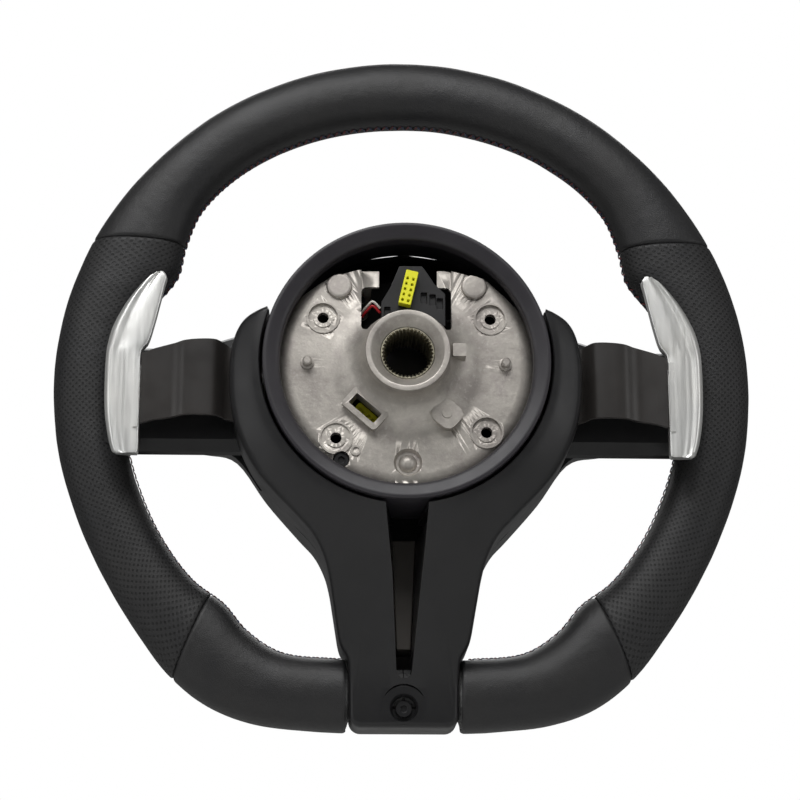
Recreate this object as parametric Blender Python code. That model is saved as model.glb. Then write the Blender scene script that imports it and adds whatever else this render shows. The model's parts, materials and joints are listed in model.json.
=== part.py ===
"""Flat-bottomed leather steering wheel with shift paddles, horn pad and thumb buttons.

Metres. +Z is 12 o'clock, +Y points to the driver and -Y to the steering column.
The origin is on the steering axis, in the plane of the hub boss's rear end face.
Angles round the rim are in degrees from 12 o'clock, positive towards +X.
"""

import math

import bmesh
import bpy
from mathutils import Vector

# ---------------------------------------------------------------- driving dimensions

GAP = 0.00035  # between pieces that touch on the real wheel

# Rim: it lies in one plane, and its own centre is a little above the steering axis.
RIM_Y = 0.075
RIM_DROP = -0.0045
RIM_HALF_DEPTH = 0.0160
RIM_STATIONS = (  # degrees, inner radius, outer radius, about the rim's centre
    (0, 0.1484, 0.1857),
    (32, 0.1493, 0.1850),
    (48, 0.1470, 0.1846),
    (57.2, 0.1404, 0.1848),
    (64.4, 0.1354, 0.1852),
    (73.7, 0.1414, 0.1855),
    (84, 0.1466, 0.1855),
    (99, 0.1492, 0.1857),
    (113.6, 0.1505, 0.1861),
    (125.2, 0.1522, 0.1885),
    (134.8, 0.1531, 0.1925),
    (142.3, 0.1515, 0.1974),
    (149, 0.1562, 0.1996),
    (156.5, 0.1580, 0.1972),
    (166, 0.1525, 0.1907),
    (180, 0.1472, 0.1856),
)
RIM_SKEW = (  # degrees, and how far the section's outer end leads its inner end, halved
    (0, 0.0),
    (32, 0.5),
    (61.2, 3.8),
    (84, 0.0),
    (113.6, 0.0),
    (141.3, 2.1),
    (156.5, 0.6),
    (169.9, 1.13),
    (171.5, 1.13),
    (180, 0.0),
)
UPPER_SEAM = 61.2
LOWER_SEAM = 141.3
LEATHER_END = 169.96
LEATHER = 0.0013
SEAM_HALF_GAP = 0.06  # degrees
CORE_RADIUS = 0.0060

# Hub casting.
BOSS_RADIUS = 0.0213
BUSH_RADIUS = 0.0135
SPLINE_TIP = 0.0112
SPLINE_ROOT = 0.0119
SPLINE_TEETH = 40
PLATE_RADIUS = 0.0665
PLATE_REAR_Y = 0.0235
PLATE_FRONT_Y = 0.0285
STANDOFF_CIRCLE = 0.046
STANDOFF_ANGLES = (90, 210, 330)
STANDOFF_END_Y = 0.050
ARM_Z = -0.0105
LEG_X = 0.0185
LEG_REACH = 0.95  # the rim is nearer the axis at the bottom than at the sides

# Rear collar and cover.
COLLAR_INNER = 0.0645
COLLAR_OUTER = 0.0732
COLLAR_SKIRT_Y = 0.0580
COVER_INNER = 0.0746
WALL = 0.0025
COVER_FRONT_Y = 0.0582
FOOT_FRONT_Y = 0.0747
FOOT_BOTTOM = -0.1801
FOOT_HALF = 0.0279
FOOT_SCREW_Z = -0.1705
COVER_HALF = (  # x, z of the outline from the right shoulder down to the foot
    (0.0713, 0.0285),
    (0.0765, 0.0266),
    (0.0820, 0.0235),
    (0.0860, 0.0185),
    (0.0886, 0.0110),
    (0.0900, 0.0010),
    (0.0901, -0.0090),
    (0.0894, -0.0200),
    (0.0868, -0.0330),
    (0.0820, -0.0450),
    (0.0742, -0.0577),
    (0.0644, -0.0690),
    (0.0551, -0.0785),
    (0.0466, -0.0878),
    (0.0412, -0.0980),
    (0.0385, -0.1075),
    (0.0366, -0.1185),
    (0.0346, -0.1310),
    (0.0327, -0.1395),
    (0.0300, -0.1428),
    (0.0284, -0.1452),
    (0.0281, -0.1640),
)
COVER_REAR = (  # distance from the axis, depth of the cover's rear surface
    (0.0746, 0.0150),
    (0.0850, 0.0190),
    (0.0985, 0.0275),
    (0.1165, 0.0385),
    (0.1345, 0.0480),
    (0.1525, 0.0565),
    (0.1615, 0.0592),
    (0.1770, 0.0602),
    (0.1850, 0.0606),
)
SLIT_TOP = -0.0730
SLIT_BOTTOM = -0.1555
SLIT_REAR_HALF = (0.0128, 0.0068)  # at the top and at the bottom
SLIT_FRONT_HALF = (0.0066, 0.0036)

# Front bezel.
BEZEL_OPENING = 0.0620
BEZEL_FRONT_Y = 0.0900
BEZEL_REAR_Y = 0.0588
WING_END = 0.1560
WING_REAR_Y = 0.0588
WING_SPLIT_Y = 0.0748
BEZEL_HALF = (  # x, z of the outline from the top down to the foot
    (0.0000, 0.0720),
    (0.0250, 0.0675),
    (0.0450, 0.0560),
    (0.0600, 0.0420),
    (0.0740, 0.0325),
    (0.0900, 0.0272),
    (0.1060, 0.0222),
    (0.1250, 0.0205),
    (WING_END, 0.0203),
    (WING_END, -0.0318),
    (0.1250, -0.0318),
    (0.1040, -0.0330),
    (0.0880, -0.0372),
    (0.0720, -0.0590),
    (0.0551, -0.0785),
    (0.0466, -0.0878),
    (0.0412, -0.0980),
    (0.0385, -0.1075),
    (0.0366, -0.1185),
    (0.0346, -0.1310),
    (0.0327, -0.1395),
    (0.0300, -0.1428),
    (0.0284, -0.1452),
    (0.0281, -0.1640),
)

# Paddles, given for the +X side.
PIVOT_X = 0.0810
PIVOT_Y = 0.0460
PIN_RADIUS = 0.0015
KNUCKLE_RADIUS = 0.0032
ARM_THICKNESS = 0.0026
ARM_STATIONS = (  # x, rear y, top z, bottom z
    (0.0815, 0.0436, 0.0100, -0.0262),
    (0.0853, 0.0432, 0.0100, -0.0262),
    (0.0925, 0.0422, 0.0150, -0.0248),
    (0.0960, 0.0385, 0.0162, -0.0240),
    (0.0985, 0.0363, 0.0165, -0.0240),
    (0.1060, 0.0355, 0.0164, -0.0240),
    (0.1140, 0.0363, 0.0158, -0.0241),
    (0.1190, 0.0390, 0.0150, -0.0245),
    (0.1230, 0.0400, 0.0142, -0.0250),
    (0.1300, 0.0396, 0.0120, -0.0262),
    (0.1362, 0.0388, 0.0095, -0.0280),
)
BLADE_STATIONS = (  # z, inner x, outer x
    (-0.0440, 0.1372, 0.1480),
    (-0.0428, 0.1366, 0.1498),
    (-0.0340, 0.1366, 0.1524),
    (-0.0200, 0.1366, 0.1544),
    (-0.0020, 0.1366, 0.1550),
    (0.0108, 0.1366, 0.1547),
    (0.0152, 0.1334, 0.1541),
    (0.0245, 0.1307, 0.1518),
    (0.0370, 0.1279, 0.1458),
    (0.0465, 0.1259, 0.1392),
    (0.0517, 0.1248, 0.1345),
    (0.0541, 0.1262, 0.1308),
)
BLADE_REAR_Y = 0.0385
BLADE_THICKNESS = 0.0034

# Horn pad.
PAD_RADIUS = 0.0610
PAD_EDGE_Y = 0.0905
PAD_CROWN_Y = 0.1040
PAD_BACK_Y = 0.0660
PAD_PIN_RADIUS = 0.0022

# Thumb buttons, on a panel in each wing.
PANEL_CENTRE = (0.1070, -0.0055)
PANEL_HALF = (0.0195, 0.0195)
PANEL_FACE_Y = 0.0905
BUTTON_OFFSET = (0.0122, 0.0118)
BUTTON_HALF = (0.0056, 0.0062)
BUTTON_FACE_Y = 0.0922
ROLLER_RADIUS = 0.0058
ROLLER_HALF = 0.0042
ROLLER_Y = 0.0870


# ---------------------------------------------------------------- small tools


def table(rows, at, column=1):
    """Smooth cubic through the rows' (key, ..., value) pairs, flat beyond both ends."""
    keys = [row[0] for row in rows]
    values = [row[column] for row in rows]
    if at <= keys[0]:
        return values[0]
    if at >= keys[-1]:
        return values[-1]
    i = max(n for n, key in enumerate(keys) if key <= at)

    def slope(n):
        if n == 0 or n == len(keys) - 1:
            return 0.0
        return (values[n + 1] - values[n - 1]) / (keys[n + 1] - keys[n - 1])

    span = keys[i + 1] - keys[i]
    t = (at - keys[i]) / span
    return (
        values[i] * (1 + 2 * t) * (1 - t) ** 2
        + values[i + 1] * t * t * (3 - 2 * t)
        + slope(i) * span * t * (1 - t) ** 2
        - slope(i + 1) * span * t * t * (1 - t)
    )


def material(name, colour, roughness, metallic=0.0):
    found = bpy.data.materials.get(name)
    if found:
        return found
    made = bpy.data.materials.new(name)
    made.use_nodes = True
    shader = made.node_tree.nodes["Principled BSDF"]
    shader.inputs["Base Color"].default_value = (*colour, 1.0)
    shader.inputs["Roughness"].default_value = roughness
    shader.inputs["Metallic"].default_value = metallic
    return made


def leather():
    return material("black_leather", (0.022, 0.022, 0.024), 0.50)


def black_plastic():
    return material("black_plastic", (0.020, 0.020, 0.022), 0.38)


def grey_plastic():
    return material("grey_plastic", (0.060, 0.058, 0.062), 0.45)


def cast_metal():
    return material("cast_metal", (0.46, 0.44, 0.40), 0.42, 1.0)


def steel():
    return material("steel", (0.55, 0.54, 0.52), 0.30, 1.0)


def satin_silver():
    return material("satin_silver", (0.70, 0.70, 0.67), 0.28, 1.0)


def foam():
    return material("grey_foam", (0.12, 0.12, 0.12), 0.85)


def yellow_plastic():
    return material("yellow_plastic", (0.80, 0.78, 0.03), 0.40)


def board_green():
    return material("circuit_board", (0.03, 0.16, 0.07), 0.45)


def object_from(bm, name, mat, smooth=35.0):
    """Makes the bmesh an object, shaded smooth with edges over `smooth` degrees kept sharp."""
    bmesh.ops.recalc_face_normals(bm, faces=bm.faces)
    if bm.calc_volume(signed=True) < 0:
        bmesh.ops.reverse_faces(bm, faces=bm.faces)
    mesh = bpy.data.meshes.new(name)
    bm.to_mesh(mesh)
    bm.free()
    mesh.materials.append(mat)
    mesh.shade_smooth()
    mesh.set_sharp_from_angle(angle=math.radians(smooth))
    obj = bpy.data.objects.new(name, mesh)
    bpy.context.scene.collection.objects.link(obj)
    return obj


def skin_rings(bm, rings, closed=False):
    """Joins neighbouring rings of points, each a closed section, and caps open ends."""
    loops = [[bm.verts.new(p) for p in ring] for ring in rings]
    count = len(loops[0])
    pairs = list(zip(loops, loops[1:]))
    if closed:
        pairs.append((loops[-1], loops[0]))
    for a, b in pairs:
        for i in range(count):
            j = (i + 1) % count
            bm.faces.new((a[i], a[j], b[j], b[i]))
    if not closed:
        bm.faces.new(loops[0])
        bm.faces.new(tuple(reversed(loops[-1])))


def skin(name, rings, mat, closed=False, smooth=35.0):
    bm = bmesh.new()
    skin_rings(bm, rings, closed)
    return object_from(bm, name, mat, smooth)


def sleeve(name, outer_rings, inner_rings, mat):
    """A tube with a wall: outer and inner rings run together and meet at both open ends."""
    bm = bmesh.new()
    outer = [[bm.verts.new(p) for p in ring] for ring in outer_rings]
    inner = [[bm.verts.new(p) for p in ring] for ring in inner_rings]
    count = len(outer[0])
    for side in (outer, inner):
        for a, b in zip(side, side[1:]):
            for i in range(count):
                j = (i + 1) % count
                bm.faces.new((a[i], a[j], b[j], b[i]))
    for a, b in ((outer[0], inner[0]), (inner[-1], outer[-1])):
        for i in range(count):
            j = (i + 1) % count
            bm.faces.new((a[i], b[i], b[j], a[j]))
    return object_from(bm, name, mat)


def lathe(name, profile, mat, segments=48, smooth=35.0):
    """Turns a closed profile of (radius, y) points about the Y axis."""
    rings = []
    for n in range(segments):
        a = 2 * math.pi * n / segments
        rings.append([Vector((r * math.sin(a), y, r * math.cos(a))) for r, y in profile])
    return skin(name, rings, mat, closed=True, smooth=smooth)


def prism(name, outline, y0, y1, mat):
    """Extrudes an outline of (x, z) points from y0 to y1."""
    rings = [[Vector((x, y, z)) for x, z in outline] for y in (y0, y1)]
    return skin(name, rings, mat)


def disc(name, x, z, radius, y0, y1, mat, segments=24, end_radius=None):
    """A cylinder, or a cone where end_radius is given, along Y."""
    rings = []
    for y, r in ((y0, radius), (y1, radius if end_radius is None else end_radius)):
        angles = [2 * math.pi * n / segments for n in range(segments)]
        rings.append([Vector((x + r * math.sin(a), y, z + r * math.cos(a))) for a in angles])
    return skin(name, rings, mat)


def rod(name, start, end, radius, mat, segments=16):
    """A round rod between two points."""
    start, end = Vector(start), Vector(end)
    along = (end - start).normalized()
    side = along.orthogonal().normalized()
    other = along.cross(side)
    rings = []
    for centre in (start, end):
        angles = [2 * math.pi * n / segments for n in range(segments)]
        rings.append([centre + radius * (math.cos(a) * side + math.sin(a) * other) for a in angles])
    return skin(name, rings, mat)


def block(name, low, high, mat, bevel=0.0):
    bm = bmesh.new()
    bmesh.ops.create_cube(bm, size=1.0)
    low, high = Vector(low), Vector(high)
    for v in bm.verts:
        v.co = Vector([low[i] if v.co[i] < 0 else high[i] for i in range(3)])
    if bevel:
        bmesh.ops.bevel(bm, geom=bm.edges[:], offset=bevel, segments=2, profile=0.5, affect="EDGES")
    return object_from(bm, name, mat)


def rounded_rectangle(half_x, half_z, corner, centre=(0.0, 0.0), turn=0.0, steps=4):
    """(x, z) points of a rectangle with round corners, turned by `turn` degrees."""
    points = []
    for quarter, (sx, sz) in enumerate(((1, 1), (-1, 1), (-1, -1), (1, -1))):
        for n in range(steps + 1):
            a = math.pi / 2 * (quarter + n / steps)
            points.append(
                (
                    sx * (half_x - corner) + corner * math.cos(a),
                    sz * (half_z - corner) + corner * math.sin(a),
                )
            )
    c, s = math.cos(math.radians(turn)), math.sin(math.radians(turn))
    return [(centre[0] + x * c - z * s, centre[1] + x * s + z * c) for x, z in points]


def boolean(target, tool, operation):
    """Applies one Boolean to target, and removes the tool."""
    modifier = target.modifiers.new("Boolean", "BOOLEAN")
    modifier.operation = operation
    modifier.object = tool
    graph = bpy.context.evaluated_depsgraph_get()
    mesh = bpy.data.meshes.new_from_object(target.evaluated_get(graph))
    target.modifiers.clear()
    old, target.data = target.data, mesh
    mesh.name = target.name
    bpy.data.meshes.remove(old)
    bpy.data.objects.remove(tool)
    return target


def cut(target, *tools):
    for tool in tools:
        boolean(target, tool, "DIFFERENCE")
    return target


def fuse(target, *tools):
    for tool in tools:
        boolean(target, tool, "UNION")
    return target


def turn_about(obj, point):
    """Moves the object's origin to a point on its joint's axis, leaving its shape where it is."""
    point = Vector(point)
    for v in obj.data.vertices:
        v.co -= point
    obj.location = point
    return obj


def mirrored(obj, name):
    """A copy of a +X side piece for the -X side."""
    bm = bmesh.new()
    bm.from_mesh(obj.data)
    for v in bm.verts:
        v.co.x = -v.co.x
    return object_from(bm, name, obj.data.materials[0])


def coil(name, centre, axis, radius, wire, length, turns, mat, per_turn=8, sides=4):
    """A helical spring with open ends, starting at centre and running along axis."""
    centre, axis = Vector(centre), Vector(axis).normalized()
    side = axis.orthogonal().normalized()
    other = axis.cross(side)
    rings = []
    steps = turns * per_turn
    for n in range(steps + 1):
        a = 2 * math.pi * n / per_turn
        out = math.cos(a) * side + math.sin(a) * other
        middle = centre + radius * out + axis * (wire + (length - 2 * wire) * n / steps)
        angles = [2 * math.pi * k / sides for k in range(sides)]
        rings.append([middle + wire * (math.cos(b) * out + math.sin(b) * axis) for b in angles])
    return skin(name, rings, mat)


def smooth_line(points, per_span):
    """Catmull-Rom curve through the points, per_span steps to each span."""
    points = [Vector(p) for p in points]
    ends = [2 * points[0] - points[1], *points, 2 * points[-1] - points[-2]]
    line = []
    for a, b, c, d in zip(ends, ends[1:], ends[2:], ends[3:]):
        for n in range(per_span):
            t = n / per_span
            line.append(
                0.5 * (2 * b + (c - a) * t + (2 * a - 5 * b + 4 * c - d) * t * t
                       + (3 * b - a - 3 * c + d) * t ** 3)
            )
    return [*line, points[-1]]


def wire(name, points, diameter, mat):
    """A bendy wire as a bevelled curve through the points."""
    line = smooth_line(points, 3)
    curve = bpy.data.curves.new(name, "CURVE")
    curve.dimensions = "3D"
    curve.bevel_depth = diameter / 2
    curve.bevel_resolution = 2
    curve.use_fill_caps = True
    spline = curve.splines.new("POLY")
    spline.points.add(len(line) - 1)
    for point, place in zip(spline.points, line):
        point.co = (*place, 1.0)
    curve.materials.append(mat)
    obj = bpy.data.objects.new(name, curve)
    bpy.context.scene.collection.objects.link(obj)
    return obj


# ---------------------------------------------------------------- rim


def rim_section(degrees, inset=0.0, sides=12):
    """The rim's outer section at an angle round it, shrunk by inset all round."""
    around = abs(degrees)
    skew = table(RIM_SKEW, around)
    ends = []
    for column, shift in ((1, -skew), (2, skew)):
        at = around + shift
        radius = table(RIM_STATIONS, at, column)
        a = math.radians(math.copysign(at, degrees))
        ends.append(Vector((radius * math.sin(a), RIM_Y, radius * math.cos(a) - RIM_DROP)))
    centre = (ends[0] + ends[1]) / 2
    half = (ends[1] - ends[0]) / 2
    half *= (half.length - inset) / half.length
    depth = Vector((0.0, RIM_HALF_DEPTH - inset, 0.0))
    ring = []
    for n in range(sides):
        a = 2 * math.pi * n / sides
        c, s = math.cos(a), math.sin(a)
        ring.append(centre + half * math.copysign(abs(c) ** 0.9, c)
                    + depth * math.copysign(abs(s) ** 0.9, s))
    return ring


def rim_core_section(degrees, radius, sides):
    """A round section about the middle of the rim's own section."""
    ring = rim_section(degrees)
    centre = sum(ring, Vector()) / len(ring)
    outward = Vector((centre.x, 0.0, centre.z + RIM_DROP)).normalized()
    points = []
    for n in range(sides):
        a = 2 * math.pi * n / sides
        points.append(centre + radius * (math.cos(a) * outward + Vector((0, math.sin(a), 0))))
    return points


def rim_angles(start, end, step):
    count = max(1, round(abs(end - start) / step))
    return [start + (end - start) * n / count for n in range(count + 1)]


def rim_panel(name, start, end):
    """One leather panel of the rim's cover, between two seams."""
    angles = rim_angles(start, end, 8.0)
    angles[0] += SEAM_HALF_GAP
    angles[-1] -= SEAM_HALF_GAP
    outer = [rim_section(a) for a in angles]
    inner = [rim_section(a, LEATHER) for a in angles]
    return sleeve(name, outer, inner, leather())


def rim_envelope(inset):
    """The rim above the lower corners as a tube, used to trim the wings that run into it."""
    rings = [rim_section(a, inset) for a in rim_angles(-150, 150, 5.0)]
    return skin("rim_envelope", rings, leather())


def foam_inset(degrees):
    """The foam is thinner under the two feet at the bottom, to leave room for their walls."""
    return LEATHER + 0.0010 + 0.0036 * min(1.0, max(0.0, (abs(degrees) - LEATHER_END) / 0.35))


def rim_foam():
    """The foam round the core. It is split at the bottom, under the feet."""
    step = LEATHER_END + 0.35
    right = [*rim_angles(UPPER_SEAM, LOWER_SEAM, 8.0), *rim_angles(LOWER_SEAM, LEATHER_END, 8.0)[1:],
             step, 174.0, 179.9]
    left = [-a for a in reversed(right)]
    angles = [*left, *rim_angles(-UPPER_SEAM, UPPER_SEAM, 8.0)[1:-1], *right]
    outer = [rim_section(a, foam_inset(a), 8) for a in angles]
    inner = [rim_core_section(a, CORE_RADIUS + 0.0018, 8) for a in angles]
    return sleeve("rim_foam", outer, inner, foam())


def core_angles():
    return [-168.0, *rim_angles(-160, 160, 8.0), 168.0, 180.0]


def rim_core():
    """The steel ring that the foam is moulded on."""
    rings = [rim_core_section(a, CORE_RADIUS, 8) for a in core_angles()]
    return skin("rim_core", rings, steel(), closed=True)


# ---------------------------------------------------------------- hub casting

BOSS_PROFILE = (  # radius, y, from the bush's seat over the boss and plate and back
    (BUSH_RADIUS + GAP, 0.0050),
    (0.0182, 0.0004),
    (0.0190, 0.0000),
    (0.0208, 0.0000),
    (BOSS_RADIUS, 0.0005),
    (BOSS_RADIUS, 0.0070),
    (0.0235, 0.0130),
    (0.0285, 0.0190),
    (0.0370, PLATE_REAR_Y),
    (0.0580, PLATE_REAR_Y),
    (0.0630, 0.0248),
    (PLATE_RADIUS, 0.0280),
    (PLATE_RADIUS, 0.0320),
    (0.0610, PLATE_FRONT_Y),
    (0.0300, PLATE_FRONT_Y),
    (0.0240, 0.0330),
    (BUSH_RADIUS + GAP, 0.0330),
)
SCREW_PADS = (  # x, z, sink of the spot face below the plate
    (-0.0427, 0.0245, 0.0012),
    (0.0432, 0.0245, 0.0012),
    (-0.0356, -0.0395, 0.0003),
    (0.0407, -0.0358, 0.0012),
)
PLATE_TOP = (  # x, z of the plate's upper edge, which leaves the top of the recess open
    (-0.0680, 0.0200),
    (-0.0644, 0.0244),
    (-0.0541, 0.0366),
    (-0.0395, 0.0463),
    (-0.0249, 0.0505),
    (0.0200, 0.0512),
    (0.0290, 0.0490),
    (0.0420, 0.0451),
    (0.0578, 0.0305),
    (0.0626, 0.0244),
    (0.0680, 0.0200),
)
LOCATING_PINS = ((-0.0505, 0.0), (0.0507, 0.0))
KNOBS = ((-0.0345, 0.0414), (0.0350, 0.0417))


def spoke_arm(outward, offset, widest, reach=1.0):
    """A cast arm from the plate to the core. It steps forward behind the collar, then runs out."""
    outward, offset = Vector(outward), Vector(offset)
    across = offset.normalized()
    rows = (  # distance out, rear y, front y, half width
        (0.0500, 0.0255, 0.0320, 0.0115),
        (0.0570, 0.0285, 0.0450, 0.0115),
        (0.0635, 0.0610, 0.0665, 0.0115),
        (0.0690, 0.0625, 0.0695, 0.0110),
        (0.1200, 0.0650, 0.0725, 0.0090),
        (0.1500, 0.0695, 0.0790, 0.0080),
        (0.1650, 0.0702, 0.0798, 0.0070),
    )
    rings = []
    for out, rear, front, half in rows:
        middle = outward * (out * reach if out > 0.1 else out) + offset
        half = min(half, widest)
        rings.append([
            middle - across * half + Vector((0, rear, 0)),
            middle + across * half + Vector((0, rear, 0)),
            middle + across * half + Vector((0, front, 0)),
            middle - across * half + Vector((0, front, 0)),
        ])
    return skin("arm", rings, cast_metal())


def spoke_arms():
    """Arms to 3 and 9 o'clock, and a pair of legs to 6 o'clock."""
    return [
        spoke_arm((1, 0, 0), (0, 0, ARM_Z), 0.0115),
        spoke_arm((-1, 0, 0), (0, 0, ARM_Z), 0.0115),
        spoke_arm((0, 0, -1), (LEG_X, 0, 0), 0.0055, LEG_REACH),
        spoke_arm((0, 0, -1), (-LEG_X, 0, 0), 0.0055, LEG_REACH),
    ]


def hub_casting():
    """Plate, splined boss seat, spoke arms and all the small bosses of the die casting."""
    metal = cast_metal()
    hub = lathe("hub_casting", BOSS_PROFILE, metal, 40)
    fuse(hub, *spoke_arms())
    for x, z in standoffs():
        fuse(hub, disc("standoff", x, z, 0.0055, 0.0260, STANDOFF_END_Y, metal, 16))
        cut(hub, disc("guide_bore", x, z, PAD_PIN_RADIUS + GAP, 0.0360, 0.0600, metal, 12))
    window = rounded_rectangle(0.0232, 0.0130, 0.0030, (0.0, 0.0290), steps=2)
    connector_frame = rounded_rectangle(0.0112, 0.0062, 0.0022, (-0.0209, -0.0249), -41, 2)
    tab = rounded_rectangle(0.0072, 0.0066, 0.0045, (0.0204, -0.0275), -41, 2)
    post = rounded_rectangle(0.0034, 0.0034, 0.0005, (0.0265, 0.0036), 0, 1)
    fuse(
        hub,
        prism("frame", connector_frame, 0.0190, 0.0300, metal),
        prism("tab", tab, 0.0185, 0.0260, metal),
        prism("post", post, 0.0100, 0.0260, metal),
    )
    for x, z in LOCATING_PINS:
        fuse(hub, disc("pin", x, z, 0.0024, 0.0180, 0.0260, metal, 12))
    for x, z in KNOBS:
        fuse(hub, disc("knob", x, z, 0.0062, 0.0212, 0.0262, metal, 12, 0.0075))
    cut(hub, disc("dome_sink", 0.0008, -0.0520, 0.0072, 0.0200, 0.0258, metal, 20, 0.0062))
    fuse(hub, disc("dome", 0.0008, -0.0520, 0.0022, 0.0232, 0.0270, metal, 12, 0.0050))
    for x, z, sink in SCREW_PADS:
        face = PLATE_REAR_Y + sink
        cut(
            hub,
            disc("spot_face", x, z, 0.0074, 0.0100, face, metal, 20),
            disc("screw_hole", x, z, 0.0029, 0.0100, 0.0480, metal, 16),
        )
    opening = rounded_rectangle(0.0084, 0.0033, 0.0008, (-0.0209, -0.0249), -41, 1)
    bar = [(-0.0232, 0.0390), (0.0232, 0.0390), (0.0232, 0.0560), (-0.0232, 0.0560)]
    plug_way = [(-0.0140, 0.0380), (0.0160, 0.0380), (0.0160, 0.0600), (-0.0140, 0.0600)]
    notch = rounded_rectangle(0.0100, 0.0045, 0.0040, (0.0, -0.0672), 0, 3)
    cut(
        hub,
        prism("above", [*PLATE_TOP, (0.0800, 0.0800), (-0.0800, 0.0800)], 0.0160, 0.0340, metal),
        prism("window", window, 0.0160, 0.0480, metal),
        prism("bar", bar, 0.0160, 0.0258, metal),
        prism("plug_way", plug_way, 0.0160, 0.0480, metal),
        prism("opening", opening, 0.0100, 0.0400, metal),
        prism("notch", notch, 0.0100, 0.0400, metal),
        disc("clip_hole", -0.0328, -0.0505, 0.0042, 0.0100, 0.0400, metal, 16),
    )
    for side in (1, -1):
        cut(hub, disc("thread", side * 0.0809, ARM_Z, 0.0015, 0.0600, 0.0680, metal, 10))
    cut(hub, core_cutter())
    return hub


def core_cutter():
    rings = [rim_core_section(a, CORE_RADIUS + GAP, 8) for a in core_angles()]
    return skin("core_cutter", rings, steel(), closed=True)


def arm_cutter(outward, offset, half_width, reach=1.0):
    """A channel through leather and foam to the core, a little wider than the arm in it."""
    outward, offset = Vector(outward), Vector(offset)
    across = offset.normalized()
    rings = []
    for out in (0.1300, 0.1655):
        middle = outward * out * reach + offset
        rings.append([
            middle - across * half_width + Vector((0, 0.0645, 0)),
            middle + across * half_width + Vector((0, 0.0645, 0)),
            middle + across * half_width + Vector((0, 0.0815, 0)),
            middle - across * half_width + Vector((0, 0.0815, 0)),
        ])
    return skin("channel", rings, steel())


def side_channel(side):
    return arm_cutter((side, 0, 0), (0, 0, ARM_Z), 0.0095)


def leg_channel(side):
    return arm_cutter((0, 0, -1), (side * LEG_X, 0, 0), 0.0062, LEG_REACH)


def rim_pieces():
    """Core, foam and the five leather panels."""
    rim_core()
    cut(rim_foam(), side_channel(1), side_channel(-1), leg_channel(1), leg_channel(-1),
        disc("screw_way", 0.0, FOOT_SCREW_Z, 0.0027, 0.0500, 0.0725, foam(), 12))
    rim_panel("rim_leather_top", -UPPER_SEAM, UPPER_SEAM)
    for side, word in ((1, "right"), (-1, "left")):
        if side > 0:
            grip, lower = (UPPER_SEAM, LOWER_SEAM), (LOWER_SEAM, LEATHER_END)
        else:
            grip, lower = (-LOWER_SEAM, -UPPER_SEAM), (-LEATHER_END, -LOWER_SEAM)
        cut(rim_panel(f"rim_leather_{word}_grip", *grip), side_channel(side))
        rim_panel(f"rim_leather_lower_{word}", *lower)


def spline_bush():
    """Steel bush with internal splines, which slides on the steering shaft."""
    rings = []
    for y, straight in ((0.0052, False), (0.0066, True), (0.0310, True)):
        ring = []
        for n in range(2 * SPLINE_TEETH):
            a = math.pi * n / SPLINE_TEETH
            r = SPLINE_TIP if n % 2 else SPLINE_ROOT
            if not straight:
                r += 0.0011
            ring.append(Vector((r * math.sin(a), y, r * math.cos(a))))
        rings.append(ring)
    outer = []
    for y in (0.0052, 0.0066, 0.0310):
        angles = [math.pi * n / SPLINE_TEETH for n in range(2 * SPLINE_TEETH)]
        outer.append([Vector((BUSH_RADIUS * math.sin(a), y, BUSH_RADIUS * math.cos(a)))
                      for a in angles])
    return sleeve("spline_bush", outer, rings, steel())


# ---------------------------------------------------------------- rear collar and cover


def rear_collar():
    """Plastic ring round the hub's recess, with a skirt that reaches the front bezel."""
    profile = (
        (COLLAR_INNER, 0.0160),
        (COLLAR_INNER + 0.0008, 0.0148),
        (0.0712, 0.0126),
        (0.0724, 0.0126),
        (COLLAR_OUTER, 0.0136),
        (COLLAR_OUTER, COLLAR_SKIRT_Y),
        (0.0712, COLLAR_SKIRT_Y),
        (0.0712, 0.0240),
        (0.0700, 0.0215),
        (0.0660, 0.0228),
        (COLLAR_INNER, 0.0226),
    )
    return lathe("rear_collar", profile, grey_plastic(), 48)


def foot_corner():
    """The foot's lower right-hand corner, an arc of four points."""
    radius = 0.0062
    x, z = FOOT_HALF - radius, FOOT_BOTTOM + radius
    angles = [math.radians(30 * n) for n in range(4)]
    return [Vector((x + radius * math.cos(a), z - radius * math.sin(a))) for a in angles]


def mirror_outline(right):
    """Adds the left half to a right-hand outline that ends at the foot's corner."""
    middle = [Vector((0.0135, FOOT_BOTTOM)), Vector((0.0, FOOT_BOTTOM)),
              Vector((-0.0135, FOOT_BOTTOM))]
    return [*right, *middle, *[Vector((-p.x, p.y)) for p in reversed(right)]]


def inset_outline(line, distance, closed=False):
    """Moves a clockwise outline inward by a distance, with its corners mitred."""
    moved = []
    for i, p in enumerate(line):
        before = line[i - 1] if i or closed else p
        after = line[(i + 1) % len(line)] if i + 1 < len(line) or closed else p
        come, leave = (p - before).normalized(), (after - p).normalized()
        tangent = (come + leave).normalized()
        normal = Vector((tangent.y, -tangent.x))
        spread = max(0.6, tangent.dot(leave if leave.length else come))
        moved.append(p + normal * distance / spread)
    return moved


def cover_outline():
    """The rear cover's outline, from the right shoulder over the foot to the left shoulder."""
    return mirror_outline([*[Vector(p) for p in COVER_HALF], *foot_corner()])


def cover_front_y(z):
    """Depth at which the cover's walls end: at the bezel, and at the bezel's foot on the rim."""
    share = min(1.0, max(0.0, (-z - 0.100) / 0.040))
    return COVER_FRONT_Y + (FOOT_FRONT_Y - COVER_FRONT_Y) * share


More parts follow.
